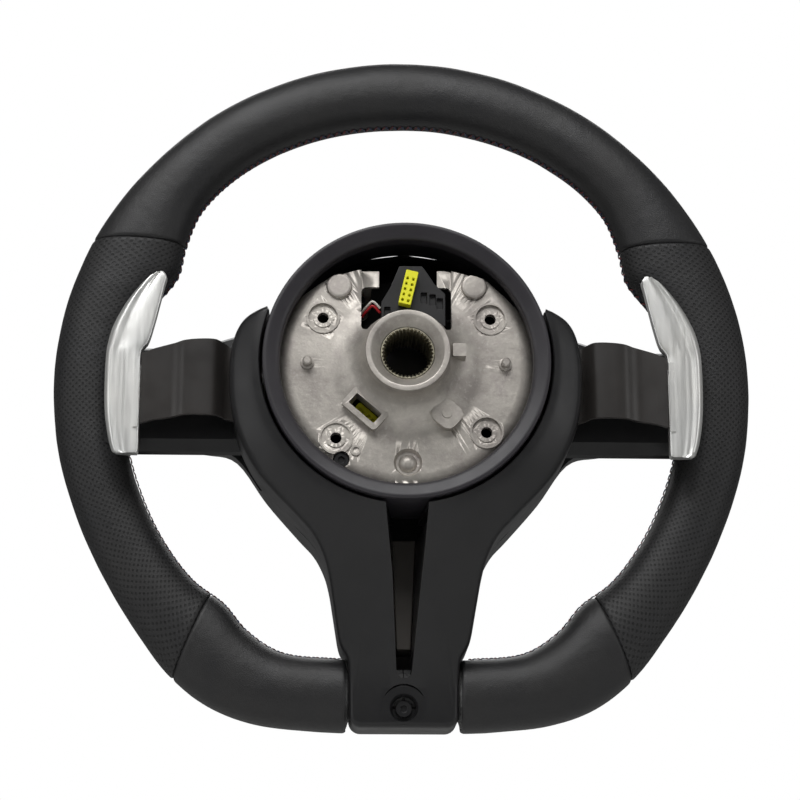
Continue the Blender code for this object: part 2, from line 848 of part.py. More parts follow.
def cover_rings():
    """Radial sections of the solid cover, from shoulder to shoulder."""
    line = cover_outline()
    edge = inset_outline(line, 0.0009)
    shoulder = inset_outline(line, 0.0028)
    rings = []
    for outer, near, flat in zip(line, edge, shoulder):
        front = cover_front_y(outer.y)
        ring = []
        for point, clear, lift in ((outer, 0.0020, 0.0032), (near, 0.0016, 0.0009),
                                   (flat, 0.0012, 0.0)):
            radius = max(point.length, COVER_INNER + clear)
            way = point.normalized()
            ring.append(Vector((radius * way.x, table(COVER_REAR, radius) + lift, radius * way.y)))
        way, last = flat.normalized(), radius
        hub = COVER_INNER + 0.0006
        for share in (0.5, 1.0):
            radius = last + (hub - last) * share
            ring.append(Vector((radius * way.x, table(COVER_REAR, radius), radius * way.y)))
        for y in (table(COVER_REAR, hub) + 0.0006, COVER_FRONT_Y):
            ring.append(Vector((COVER_INNER * way.x, y, COVER_INNER * way.y)))
        start = ring[0]
        rings.append([Vector((start.x, front, start.z)), *ring])
    return rings


def cover_hollow_rings():
    """Radial sections of the cover's hollow, which starts where the shoulders are wide enough."""
    inner = COVER_INNER + WALL
    rings = []
    for outer, point in zip(cover_outline(), inset_outline(cover_outline(), WALL)):
        radius = point.length
        if radius < inner + 0.0020:
            continue
        way = point.normalized()
        front = cover_front_y(outer.y) + 0.010
        ring = [Vector((radius * way.x, front, radius * way.y))]
        for share in (0.0, 0.5, 1.0):
            r = radius + (inner - radius) * share
            depth = table(COVER_REAR, r) + WALL + (0.0022 if share == 0.0 else 0.0)
            ring.append(Vector((r * way.x, depth, r * way.y)))
        ring.append(Vector((inner * way.x, COVER_FRONT_Y + 0.010, inner * way.y)))
        rings.append(ring)
    return rings


def slit_body(name, grow, front_y, top):
    """The tapering slit between the lower spoke's legs, its walls leaning in towards the front."""
    rings = []
    for y, (upper, lower) in ((0.0, SLIT_REAR_HALF), (front_y, SLIT_FRONT_HALF)):
        upper, lower, bottom = upper + grow, lower + grow, SLIT_BOTTOM - grow
        rings.append([
            Vector((-upper, y, top)), Vector((upper, y, top)),
            Vector((lower, y, bottom + 0.004)), Vector((lower * 0.5, y, bottom)),
            Vector((-lower * 0.5, y, bottom)), Vector((-lower, y, bottom + 0.004)),
        ])
    return skin(name, rings, black_plastic())


def rear_cover():
    """Horseshoe-shaped shell with the lower spoke and the foot that crosses the rim."""
    plastic = black_plastic()
    cover = skin("rear_cover", cover_rings(), plastic)
    hollow = skin("hollow", cover_hollow_rings(), plastic)
    cut(hollow, slit_body("slit_walls", 0.0020, 0.0640, SLIT_TOP - 0.0100))
    cut(cover, hollow, slit_body("slit", 0.0, 0.0640, SLIT_TOP + 0.010))
    for side in (1, -1):
        low = (min(side * 0.0835, side * 0.0960), 0.0345, -0.0290)
        high = (max(side * 0.0835, side * 0.0960), 0.0500, 0.0175)
        cut(cover, block("paddle_slot", low, high, plastic))
    fuse(cover, disc("screw_well", 0.0, FOOT_SCREW_Z, 0.0082, 0.0606, 0.0680, plastic, 24))
    cut(cover, disc("recess", 0.0, FOOT_SCREW_Z, 0.0062, 0.0500, 0.0650, plastic, 24))
    cut(cover, disc("screw_way", 0.0, FOOT_SCREW_Z, 0.0024, 0.0500, 0.0700, plastic, 16))
    cut(cover, foot_rim_cutter())
    return cover


def foot_rim_cutter():
    """Clears the foot's side walls over the foam that passes through them."""
    angles = rim_angles(150, 210, 5.0)
    rings = [rim_section(a if a <= 180 else a - 360, 0.0044) for a in angles]
    return skin("foot_cutter", rings, black_plastic())


def spoke_back(name):
    """Rear half-shell of the right wing, under the paddle arm."""
    rows = ((0.0765, 0.0310, -0.0385), (0.0900, 0.0272, -0.0385), (0.1060, 0.0222, -0.0385),
            (0.1250, 0.0205, -0.0385), (WING_END, 0.0203, -0.0385))
    rings = {}
    for wall in (0.0, 0.0022):
        rings[wall] = []
        for x, top, bottom in rows:
            x_wall = x if wall == 0.0 or 0.08 < x < 0.15 else x + math.copysign(0.004, x - 0.1)
            top, bottom, rear = top - wall, bottom + wall, WING_REAR_Y + wall
            front = WING_SPLIT_Y - GAP if wall == 0.0 else WING_SPLIT_Y + 0.004
            rings[wall].append([Vector((x_wall, y, z)) for z, y in (
                (top, front), (top, rear + 0.0075), (top - 0.0025, rear + 0.0028),
                (top - 0.0080, rear), (bottom + 0.0075, rear), (bottom + 0.0012, rear + 0.0024),
                (bottom, rear + 0.0050), (bottom + 0.0065, front))])
    shell = skin(name, rings[0.0], black_plastic())
    cut(shell, disc("screw_way", 0.0809, ARM_Z, 0.0015, 0.0500, 0.0700, black_plastic(), 10))
    cut(shell, skin("hollow", rings[0.0022], black_plastic()), rim_envelope(-0.0010))
    cut(shell, lathe("collar_room", ((0.010, 0.0300), (0.0748, 0.0300), (0.0748, 0.0900),
                                     (0.010, 0.0900)), black_plastic(), 48))
    return shell


# ---------------------------------------------------------------- front bezel and its trim


def bezel_front_y(point):
    """The bezel's face is nearly flat. It stands prouder at the foot, over the rim."""
    foot = min(1.0, max(0.0, (-point.y - 0.100) / 0.050))
    outward = min(1.0, max(0.0, (abs(point.x) - 0.085) / 0.060))
    return BEZEL_FRONT_Y + 0.0016 * foot - 0.0035 * outward


def bezel_rear_y(point):
    """The bezel meets the rear cover, the spoke backs at the wings, and the rear foot."""
    foot = min(1.0, max(0.0, (-point.y - 0.100) / 0.040))
    wing = 1.0 if abs(point.x) > 0.0730 and -0.055 < point.y < 0.034 else 0.0
    return BEZEL_REAR_Y + (WING_SPLIT_Y + GAP - BEZEL_REAR_Y) * max(foot, wing)


def bezel_outline():
    """The front bezel's outline, clockwise from 12 o'clock, with long edges divided."""
    half = [Vector(p) for p in BEZEL_HALF]
    right = []
    for a, b in zip(half, half[1:]):
        steps = 3 if (b - a).length > 0.040 else 2 if (b - a).length > 0.0215 else 1
        right += [a.lerp(b, n / steps) for n in range(steps)]
    whole = mirror_outline([*right, half[-1], *foot_corner()])
    return whole[:-1]


def bezel_rings(wall):
    """Radial sections of the bezel, solid at wall 0, or of its hollow, which opens to the rear."""
    outline = bezel_outline()
    line = inset_outline(outline, wall, closed=True)
    edge = inset_outline(outline, 0.0008, closed=True)
    shoulder = inset_outline(outline, wall + (0.0014 if wall else 0.0028), closed=True)
    inner = BEZEL_OPENING + wall
    rings = []
    for outer, near, flat, key in zip(line, edge, shoulder, outline):
        face = bezel_front_y(key) - wall
        toward = flat.normalized()
        hub = toward * inner
        if wall:
            ring = [(outer, 0.0400), (outer, face - 0.0014), (flat, face), (hub, face),
                    (hub, 0.0400)]
        else:
            ring = [(outer, bezel_rear_y(key)), (outer, face - 0.0034), (near, face - 0.0010),
                    (flat, face), (toward * (inner + 0.0010), face), (hub, face - 0.0010),
                    (hub, 0.0740)]
        rings.append([Vector((p.x, y, p.y)) for p, y in ring])
    return rings


def front_bezel():
    """Front trim: a shell round the horn pad, with two wings and the lower spoke."""
    plastic = black_plastic()
    bezel = skin("front_bezel", bezel_rings(0.0), plastic, closed=True)
    for side in (-1, 1):
        hole = rounded_rectangle(PANEL_HALF[0] + GAP, PANEL_HALF[1] + GAP, 0.0050,
                                 (side * PANEL_CENTRE[0], PANEL_CENTRE[1]), 0, 2)
        cut(bezel, prism("panel_hole", hole, 0.0800, 0.1000, plastic))
    hollow = skin("hollow", bezel_rings(WALL), plastic, closed=True)
    cut(bezel, hollow, rim_envelope(-0.0010), foot_rim_cutter())
    cut(bezel, slit_front_cutter(0.0))
    return bezel


def slit_front_cutter(grow):
    """The front end of the slit, which the lower spoke's trim strip closes."""
    outline = [(-0.0105 - grow, -0.0800 + grow), (0.0105 + grow, -0.0800 + grow),
               (0.0065 + grow, -0.1515 - grow), (-0.0065 - grow, -0.1515 - grow)]
    return prism("strip_hole", outline, 0.0700, 0.1000, black_plastic())


def lower_spoke_trim():
    """Strip that closes the slit in the lower spoke from the front."""
    outline = [(-0.0101, -0.0804), (0.0101, -0.0804), (0.0061, -0.1511), (-0.0061, -0.1511)]
    face = prism("lower_spoke_trim", outline, 0.0868, 0.0912, grey_plastic())
    back = [(-0.0062, -0.0830), (0.0062, -0.0830), (0.0036, -0.1400), (-0.0036, -0.1400)]
    return fuse(face, prism("back", back, 0.0650, 0.0880, grey_plastic()))


def button_panel(name):
    """Panel of the right wing, with holes for four buttons and a roller."""
    cx, cz = PANEL_CENTRE
    outline = rounded_rectangle(*PANEL_HALF, 0.0050, PANEL_CENTRE, 0, 3)
    panel = prism(name, outline, 0.0872, PANEL_FACE_Y, grey_plastic())
    for sx in (1, -1):
        for sz in (1, -1):
            hole = rounded_rectangle(BUTTON_HALF[0] + GAP, BUTTON_HALF[1] + GAP, 0.0014,
                                     (cx + sx * BUTTON_OFFSET[0], cz + sz * BUTTON_OFFSET[1]), 0, 1)
            cut(panel, prism("hole", hole, 0.0850, 0.0950, grey_plastic()))
    slot = rounded_rectangle(ROLLER_HALF + 0.0006, ROLLER_RADIUS + 0.0004, 0.0008, PANEL_CENTRE, 0, 1)
    return cut(panel, prism("slot", slot, 0.0850, 0.0950, grey_plastic()))


def button(name, side, sx, sz):
    """A thumb button: a crowned cap on a stem that reaches the circuit board's dome."""
    x = side * (PANEL_CENTRE[0] + sx * BUTTON_OFFSET[0])
    z = PANEL_CENTRE[1] + sz * BUTTON_OFFSET[1]
    rings = []
    for y, shrink in ((0.0816, 0.0032), (0.0846, 0.0030), (0.0846, 0.0),
                      (BUTTON_FACE_Y - 0.0008, 0.0), (BUTTON_FACE_Y, 0.0010)):
        outline = rounded_rectangle(BUTTON_HALF[0] - shrink, BUTTON_HALF[1] - shrink,
                                    0.0012, (x, z), 0, 2)
        rings.append([Vector((px, y, pz)) for px, pz in outline])
    return turn_about(skin(name, rings, black_plastic()), (x, BUTTON_FACE_Y, z))


def roller(name, side):
    """A knurled thumb roller on a sideways axle."""
    x, z = side * PANEL_CENTRE[0], PANEL_CENTRE[1]
    rings = []
    for dx in (-ROLLER_HALF, ROLLER_HALF):
        ring = []
        for n in range(32):
            a = 2 * math.pi * n / 32
            r = ROLLER_RADIUS - (0.0004 if n % 2 else 0.0)
            ring.append(Vector((x + dx, ROLLER_Y + r * math.cos(a), z + r * math.sin(a))))
        rings.append(ring)
    return turn_about(skin(name, rings, grey_plastic()), (x, ROLLER_Y, z))


def circuit_board(name, side):
    x, z = side * PANEL_CENTRE[0], PANEL_CENTRE[1]
    return block(name, (x - 0.0175, 0.0792, z - 0.0175), (x + 0.0175, 0.0806, z + 0.0175),
                 board_green())


# ---------------------------------------------------------------- paddles


def paddle_arm(name):
    """Right paddle's arm: a folded plate with two hinge knuckles at its inner end."""
    rings = []
    for x, y, top, bottom in ARM_STATIONS:
        rings.append([Vector((x, y, bottom)), Vector((x, y, top)),
                      Vector((x, y + ARM_THICKNESS, top)), Vector((x, y + ARM_THICKNESS, bottom))])
    arm = skin(name, rings, black_plastic())
    for low, high in ((-0.0262, -0.0160), (-0.0030, 0.0100)):
        fuse(arm, rod("knuckle", (PIVOT_X, PIVOT_Y, low), (PIVOT_X, PIVOT_Y, high),
                      KNUCKLE_RADIUS, black_plastic()))
    spring_room = block("spring_room", (0.0700, 0.0380, -0.0160), (0.0850, 0.0530, -0.0030),
                        black_plastic())
    bore = rod("bore", (PIVOT_X, PIVOT_Y, -0.0500), (PIVOT_X, PIVOT_Y, 0.0300),
               PIN_RADIUS + 0.00025, black_plastic())
    return cut(arm, spring_room, bore)


def paddle_blade(name):
    """Right paddle's silver blade, with a rib beside the arm and a tab behind it."""
    rings = []
    for z, inner, outer in BLADE_STATIONS:
        width = outer - inner
        ring = []
        for share, drop in ((0.0, 0.0006), (0.08, 0.0), (0.40, -0.0003), (0.64, 0.0009),
                            (0.80, 0.0003), (0.95, 0.0016)):
            ring.append(Vector((inner + width * share, BLADE_REAR_Y + drop, z)))
        ring.append(Vector((outer, BLADE_REAR_Y + 0.0028, z)))
        ring.append(Vector((outer - 0.0006, BLADE_REAR_Y + 0.0044, z)))
        ring.append(Vector((inner + width * 0.5, BLADE_REAR_Y + BLADE_THICKNESS + 0.0026, z)))
        ring.append(Vector((inner, BLADE_REAR_Y + BLADE_THICKNESS + 0.0026, z)))
        rings.append(ring)
    blade = skin(name, rings, satin_silver())
    rib = block("rib", (0.1369, 0.0374, -0.0305), (0.1394, 0.0400, 0.0066), satin_silver(), 0.0004)
    tab = block("tab", (0.1275, 0.0430, -0.0235), (0.1400, 0.0448, 0.0040), satin_silver())
    return fuse(blade, rib, tab)


def paddle_bracket(name):
    """Clevis that carries the right paddle's pin, on the cast arm."""
    steel_sheet = steel()
    bracket = block(name, (0.0783, 0.0556, -0.0298), (0.0834, 0.0580, 0.0136), steel_sheet)
    for low, high in ((-0.0298, -0.0266), (0.0104, 0.0136)):
        fuse(bracket, block("ear", (0.0783, 0.0420, low), (0.0834, 0.0570, high), steel_sheet))
    return cut(
        bracket,
        rod("bore", (PIVOT_X, PIVOT_Y, -0.0500), (PIVOT_X, PIVOT_Y, 0.0300), PIN_RADIUS + GAP,
            steel_sheet),
        disc("screw_way", 0.0809, ARM_Z, 0.0015, 0.0500, 0.0620, steel_sheet, 10),
    )


def paddle_switch(name):
    """Microswitch on the right spoke back, with its plunger under the arm."""
    body = block(name, (0.0990, 0.0440, -0.0170), (0.1090, 0.0584, -0.0050), black_plastic())
    return fuse(body, disc("plunger", 0.1040, -0.0110, 0.0014, 0.0404, 0.0460, black_plastic(), 10))


def paddle_side(word):
    """Every piece of one side's paddle. The left ones mirror the right."""
    made = {
        f"{word}_paddle_arm": paddle_arm("piece"),
        f"{word}_paddle_blade": paddle_blade("piece"),
        f"{word}_paddle_bracket": paddle_bracket("piece"),
        f"{word}_paddle_pin": rod("piece", (PIVOT_X, PIVOT_Y, -0.0306), (PIVOT_X, PIVOT_Y, 0.0144),
                                  PIN_RADIUS, steel()),
        f"{word}_paddle_spring": coil("piece", (PIVOT_X, PIVOT_Y, -0.0156), (0, 0, 1), 0.0025,
                                      0.0004, 0.0122, 4, steel()),
        f"{word}_paddle_switch": paddle_switch("piece"),
    }
    side = 1 if word == "right" else -1
    for name, obj in made.items():
        if side < 0:
            right, obj = obj, mirrored(obj, name)
            bpy.data.objects.remove(right)
        obj.name = name
        if name.endswith(("arm", "blade")):
            turn_about(obj, (side * PIVOT_X, PIVOT_Y, 0.0))


# ---------------------------------------------------------------- horn pad


def standoffs():
    """Places of the three stand-offs that carry the horn pad."""
    angles = [math.radians(angle) for angle in STANDOFF_ANGLES]
    return [(STANDOFF_CIRCLE * math.sin(a), STANDOFF_CIRCLE * math.cos(a)) for a in angles]


def horn_pad():
    """Sprung centre pad: soft cover, inflator can, and a back plate with three guide pins."""
    cover_profile = (
        (0.0, PAD_CROWN_Y), (0.0200, 0.1033), (0.0400, 0.1003), (0.0540, 0.0955),
        (0.0595, 0.0920), (PAD_RADIUS, PAD_EDGE_Y - 0.0020), (PAD_RADIUS, 0.0700),
        (PAD_RADIUS - WALL, 0.0700), (PAD_RADIUS - WALL, 0.0880), (0.0520, 0.0925),
        (0.0390, 0.0973), (0.0195, 0.1002), (0.0, 0.1010),
    )
    pad_lathe("pad_cover", cover_profile, leather(), 36)
    pad_lathe("inflator_can", ((0.0, 0.0430), (0.0300, 0.0430), (0.0325, 0.0455), (0.0325, 0.0780),
                               (0.0300, 0.0805), (0.0, 0.0805)), steel(), 28)
    plate = lathe("pad_back_plate", ((0.0330, PAD_BACK_Y), (0.0580, PAD_BACK_Y),
                                     (0.0580, 0.0680), (0.0330, 0.0680)), steel(), 36)
    for x, z in standoffs():
        fuse(plate, disc("pin", x, z, PAD_PIN_RADIUS, 0.0400, 0.0670, steel(), 12))


def pad_lathe(name, profile, mat, segments):
    """A lathe whose profile starts and ends on the axis."""
    bm = bmesh.new()
    poles = bm.verts.new((0.0, profile[0][1], 0.0)), bm.verts.new((0.0, profile[-1][1], 0.0))
    rings = []
    for r, y in profile[1:-1]:
        angles = [2 * math.pi * n / segments for n in range(segments)]
        rings.append([bm.verts.new((r * math.sin(a), y, r * math.cos(a))) for a in angles])
    for i in range(segments):
        j = (i + 1) % segments
        bm.faces.new((poles[0], rings[0][j], rings[0][i]))
        bm.faces.new((poles[1], rings[-1][i], rings[-1][j]))
        for a, b in zip(rings, rings[1:]):
            bm.faces.new((a[i], a[j], b[j], b[i]))
    return object_from(bm, name, mat)


def horn_springs():
    """Compression springs round the guide pins, from the stand-offs to the pad's back plate."""
    for (x, z), place in zip(standoffs(), ("right", "lower_left", "upper_left")):
        start = (x, STANDOFF_END_Y + GAP, z)
        length = PAD_BACK_Y - STANDOFF_END_Y - 2 * GAP
        coil(f"horn_spring_{place}", start, (0, 1, 0), 0.0038, 0.0005, length, 4, steel())


# ---------------------------------------------------------------- plugs, wires and screws


def harness():
    """Plug housing and its yellow insert in the top window, the pad's plug, and the wires."""
    black = black_plastic()
    housing_outline = [(-0.0128, 0.0200), (0.0200, 0.0200), (0.0200, 0.0375), (0.0146, 0.0427),
                       (0.0100, 0.0500), (0.0080, 0.0524), (-0.0036, 0.0524), (-0.0085, 0.0402),
                       (-0.0128, 0.0330)]
    prism("plug_housing", housing_outline, 0.0220, 0.0400, black)
    insert = rounded_rectangle(0.0032, 0.0092, 0.0005, (0.0009, 0.0390), -13, 1)
    prism("plug_insert", insert, 0.0165, 0.0220 - GAP, yellow_plastic())
    pad_plug = rounded_rectangle(0.0070, 0.0040, 0.0008, (-0.0209, -0.0249), -41, 1)
    prism("pad_plug", pad_plug, 0.0345, 0.0404, yellow_plastic())
    red = material("red_wire", (0.55, 0.03, 0.04), 0.4)
    white = material("white_wire", (0.75, 0.73, 0.68), 0.4)
    for name, mat, lift, side in (("wire_red", red, 0.0, -1), ("wire_white", white, 0.0024, -1),
                                  ("wire_loom", black, 0.0, 1)):
        if side > 0:
            start = [(0.0208, 0.0310, 0.0250), (0.0240, 0.0330, 0.0262)]
        else:
            start = [(-0.0134, 0.0285, 0.0290), (-0.0172, 0.0272, 0.0322), (-0.0205, 0.0300, 0.0300),
                     (-0.0245, 0.0345, 0.0275)]
        route = [*start, (side * 0.0330, 0.0400, 0.0320), (side * 0.0480, 0.0500, 0.0350),
                 (side * 0.0620, 0.0590, 0.0240), (side * 0.0664, 0.0700, 0.0110),
                 (side * 0.0720, 0.0780, 0.0030), (side * 0.0810, 0.0800, -0.0020),
                 (side * 0.0880, 0.0799, -0.0030)]
        route = [(x, y, z + lift) for x, y, z in route]
        wire(name, route, 0.0024 if side > 0 else 0.0013, mat)


def screw(name, x, z, head_y, shank_end_y, head=0.0042, shank=0.0019):
    """A pan-head screw along Y with a six-sided socket, its head towards the column."""
    body = disc(name, x, z, head, head_y, head_y + 0.0022, steel(), 20)
    fuse(body, disc("shank", x, z, shank, head_y + 0.0015, shank_end_y, steel(), 12))
    return cut(body, disc("socket", x, z, 0.0019, head_y - 0.001, head_y + 0.0013, steel(), 6))


def screws():
    screw("foot_screw", 0.0, FOOT_SCREW_Z, 0.0625, 0.0712)
    for side, word in ((1, "right"), (-1, "left")):
        screw(f"{word}_bracket_screw", side * 0.0809, ARM_Z, 0.0530, 0.0650, 0.0021, 0.0011)
    screw("clip_screw", -0.0328, -0.0505, 0.0250, 0.0330, 0.0038, 0.0016)


# ---------------------------------------------------------------- assembly


def clear_scene():
    for obj in list(bpy.data.objects):
        bpy.data.objects.remove(obj)


def main():
    clear_scene()
    hub_casting()
    spline_bush()
    rim_pieces()
    rear_collar()
    rear_cover()
    spoke_back("right_spoke_back")
    mirrored(bpy.data.objects["right_spoke_back"], "left_spoke_back")
    front_bezel()
    lower_spoke_trim()
    button_panel("right_button_panel")
    mirrored(bpy.data.objects["right_button_panel"], "left_button_panel")
    for side, word in ((1, "right"), (-1, "left")):
        circuit_board(f"{word}_circuit_board", side)
        roller(f"{word}_roller", side)
        for sx, across in ((1, "outer"), (-1, "inner")):
            for sz, height in ((1, "upper"), (-1, "lower")):
                button(f"{word}_button_{height}_{across}", side, sx, sz)
        paddle_side(word)
    horn_pad()
    horn_springs()
    harness()
    screws()


main()
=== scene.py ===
"""Looks of the flat-bottomed steering wheel, seen from the column side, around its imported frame.

Metres. +Z is 12 o'clock, +Y points to the driver and -Y to the column, where the camera stands.
"""

import json
import math

import bmesh
import bpy
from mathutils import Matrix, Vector, noise


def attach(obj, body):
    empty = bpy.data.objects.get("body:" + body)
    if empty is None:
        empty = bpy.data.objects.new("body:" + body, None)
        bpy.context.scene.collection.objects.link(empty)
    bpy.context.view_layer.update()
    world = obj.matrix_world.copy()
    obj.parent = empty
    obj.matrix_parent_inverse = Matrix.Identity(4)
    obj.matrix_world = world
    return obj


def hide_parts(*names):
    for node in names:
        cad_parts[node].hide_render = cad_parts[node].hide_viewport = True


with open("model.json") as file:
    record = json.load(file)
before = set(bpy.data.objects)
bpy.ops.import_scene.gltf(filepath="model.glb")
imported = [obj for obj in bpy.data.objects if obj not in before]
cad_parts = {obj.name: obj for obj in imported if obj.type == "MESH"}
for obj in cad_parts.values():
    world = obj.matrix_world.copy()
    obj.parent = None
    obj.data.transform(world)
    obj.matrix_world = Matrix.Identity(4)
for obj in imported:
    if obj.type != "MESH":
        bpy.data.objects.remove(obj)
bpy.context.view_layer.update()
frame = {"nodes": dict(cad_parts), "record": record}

GAP = 0.00035  # between pieces that touch on the real wheel

# Rim, as in the frame: one plane, its centre a little above the steering axis.
RIM_Y = 0.075
RIM_DROP = -0.0045
RIM_HALF_DEPTH = 0.0160
RIM_STATIONS = (  # degrees, inner radius, outer radius
    (0, 0.1484, 0.1857), (32, 0.1493, 0.1850), (48, 0.1470, 0.1846), (57.2, 0.1404, 0.1848),
    (64.4, 0.1354, 0.1852), (73.7, 0.1414, 0.1855), (84, 0.1466, 0.1855), (99, 0.1492, 0.1857),
    (113.6, 0.1505, 0.1861), (125.2, 0.1522, 0.1885), (134.8, 0.1531, 0.1925), (142.3, 0.1515, 0.1974),
    (149, 0.1562, 0.1996), (156.5, 0.1580, 0.1972), (166, 0.1525, 0.1907), (180, 0.1472, 0.1856),
)
RIM_SKEW = (  # degrees, and how far the outer end leads the inner end, halved
    (0, 0.0), (32, 0.5), (61.2, 3.8), (84, 0.0), (113.6, 0.0), (141.3, 2.1), (156.5, 0.6), (169.9, 1.13),
    (171.5, 1.13), (180, 0.0),
)
UPPER_SEAM = 61.2
LOWER_SEAM = 141.3
LEATHER_END = 169.96
LEATHER = 0.0013
CORE_RADIUS = 0.0060
SEAM_HALF_GAP = 0.06  # degrees

# Hub.
BOSS_RADIUS = 0.0213
BUSH_RADIUS = 0.0135
SPLINE_TIP = 0.0112
SPLINE_ROOT = 0.0119
SPLINE_TEETH = 40
PLATE_RADIUS = 0.0665
PLATE_REAR_Y = 0.0235
PLATE_FRONT_Y = 0.0285
STANDOFF_END_Y = 0.050
ARM_Z = -0.0105
LEG_X = 0.0185
LEG_REACH = 0.95  # the rim is nearer the axis at the bottom than at the sides

# Collar and cover.
COLLAR_INNER = 0.0645
COLLAR_OUTER = 0.0732
COLLAR_SKIRT_Y = 0.0580
COVER_INNER = 0.0746
WALL = 0.0025
COVER_FRONT_Y = 0.0582  # where the cover meets the bezel
FOOT_FRONT_Y = 0.0747
FOOT_BOTTOM = -0.1801
FOOT_HALF = 0.0279
FOOT_SCREW_Z = -0.1705
COVER_HALF = (  # x, z of the outline from the right shoulder down to the foot
    (0.0713, 0.0285), (0.0765, 0.0266), (0.0820, 0.0235), (0.0860, 0.0185), (0.0886, 0.0110),
    (0.0900, 0.0010), (0.0901, -0.0090), (0.0894, -0.0200), (0.0868, -0.0330), (0.0820, -0.0450),
    (0.0742, -0.0577), (0.0644, -0.0690), (0.0551, -0.0785), (0.0466, -0.0878), (0.0412, -0.0980),
    (0.0385, -0.1075), (0.0366, -0.1185), (0.0346, -0.1310),
    (0.0339, -0.1350), (0.0329, -0.1388), (0.0316, -0.1414), (0.0302, -0.1433), (0.0290, -0.1456),
    (0.0284, -0.1484), (0.0282, -0.1530), (0.0281, -0.1640),
)
COVER_REAR = (  # distance from the axis, depth of the cover's rear surface
    (0.0746, 0.0150), (0.0850, 0.0190), (0.0985, 0.0275), (0.1165, 0.0385), (0.1345, 0.0480),
    (0.1525, 0.0565), (0.1615, 0.0592), (0.1770, 0.0602), (0.1850, 0.0606),
)
SLIT_TOP = -0.0730
SLIT_BOTTOM = -0.1555
SLIT_REAR_HALF = (0.0128, 0.0068)
SLIT_FRONT_HALF = (0.0066, 0.0036)

# Bezel.
BEZEL_OPENING = 0.0620
BEZEL_FRONT_Y = 0.0900
BEZEL_REAR_Y = 0.0588
WING_END = 0.1560
WING_SPLIT_Y = 0.0748
BEZEL_HALF = (  # x, z of the outline from the top down to the foot
    (0.0000, 0.0720), (0.0250, 0.0675), (0.0450, 0.0560), (0.0600, 0.0420), (0.0740, 0.0325),
    (0.0900, 0.0272), (0.1060, 0.0222), (0.1250, 0.0205), (WING_END, 0.0203), (WING_END, -0.0318),
    (0.1250, -0.0318), (0.1040, -0.0330), (0.0880, -0.0372), (0.0720, -0.0590), (0.0551, -0.0785),
    (0.0466, -0.0878), (0.0412, -0.0980), (0.0385, -0.1075), (0.0366, -0.1185), (0.0346, -0.1310),
    (0.0339, -0.1350), (0.0329, -0.1388), (0.0316, -0.1414), (0.0302, -0.1433), (0.0290, -0.1456),
    (0.0284, -0.1484), (0.0282, -0.1530), (0.0281, -0.1640),
)
PANEL_CENTRE = (0.1070, -0.0055)
PANEL_HALF = (0.0195, 0.0195)

# Paddles.
PIVOT_X = 0.0810
PIVOT_Y = 0.0460
PIN_RADIUS = 0.0015
KNUCKLE_RADIUS = 0.0032
ARM_THICKNESS = 0.0026
ARM_STATIONS = (  # x, rear y, top z, bottom z
    (0.0815, 0.0436, 0.0100, -0.0262), (0.0853, 0.0432, 0.0100, -0.0262),
    (0.0925, 0.0422, 0.0150, -0.0248), (0.0960, 0.0385, 0.0162, -0.0240),
    (0.0985, 0.0363, 0.0165, -0.0240), (0.1060, 0.0355, 0.0164, -0.0240),
    (0.1140, 0.0363, 0.0158, -0.0241), (0.1190, 0.0390, 0.0150, -0.0245),
    (0.1230, 0.0400, 0.0142, -0.0250), (0.1300, 0.0396, 0.0120, -0.0262),
    (0.1362, 0.0388, 0.0095, -0.0280),
)
BLADE_STATIONS = (  # z, inner x, outer x
    (-0.0440, 0.1372, 0.1480), (-0.0428, 0.1366, 0.1498), (-0.0340, 0.1366, 0.1524),
    (-0.0200, 0.1366, 0.1544), (-0.0020, 0.1366, 0.1550), (0.0108, 0.1366, 0.1547),
    (0.0152, 0.1334, 0.1541), (0.0245, 0.1307, 0.1518), (0.0370, 0.1279, 0.1458),
    (0.0465, 0.1259, 0.1392),
    (0.0517, 0.1248, 0.1345), (0.0541, 0.1262, 0.1308),
)
BLADE_REAR_Y = 0.0385
BLADE_THICKNESS = 0.0034

# Horn pad.
PAD_RADIUS = 0.0610
PAD_EDGE_Y = 0.0905
PAD_CROWN_Y = 0.1040
PAD_BACK_Y = 0.0660


# ---------------------------------------------------------------- materials


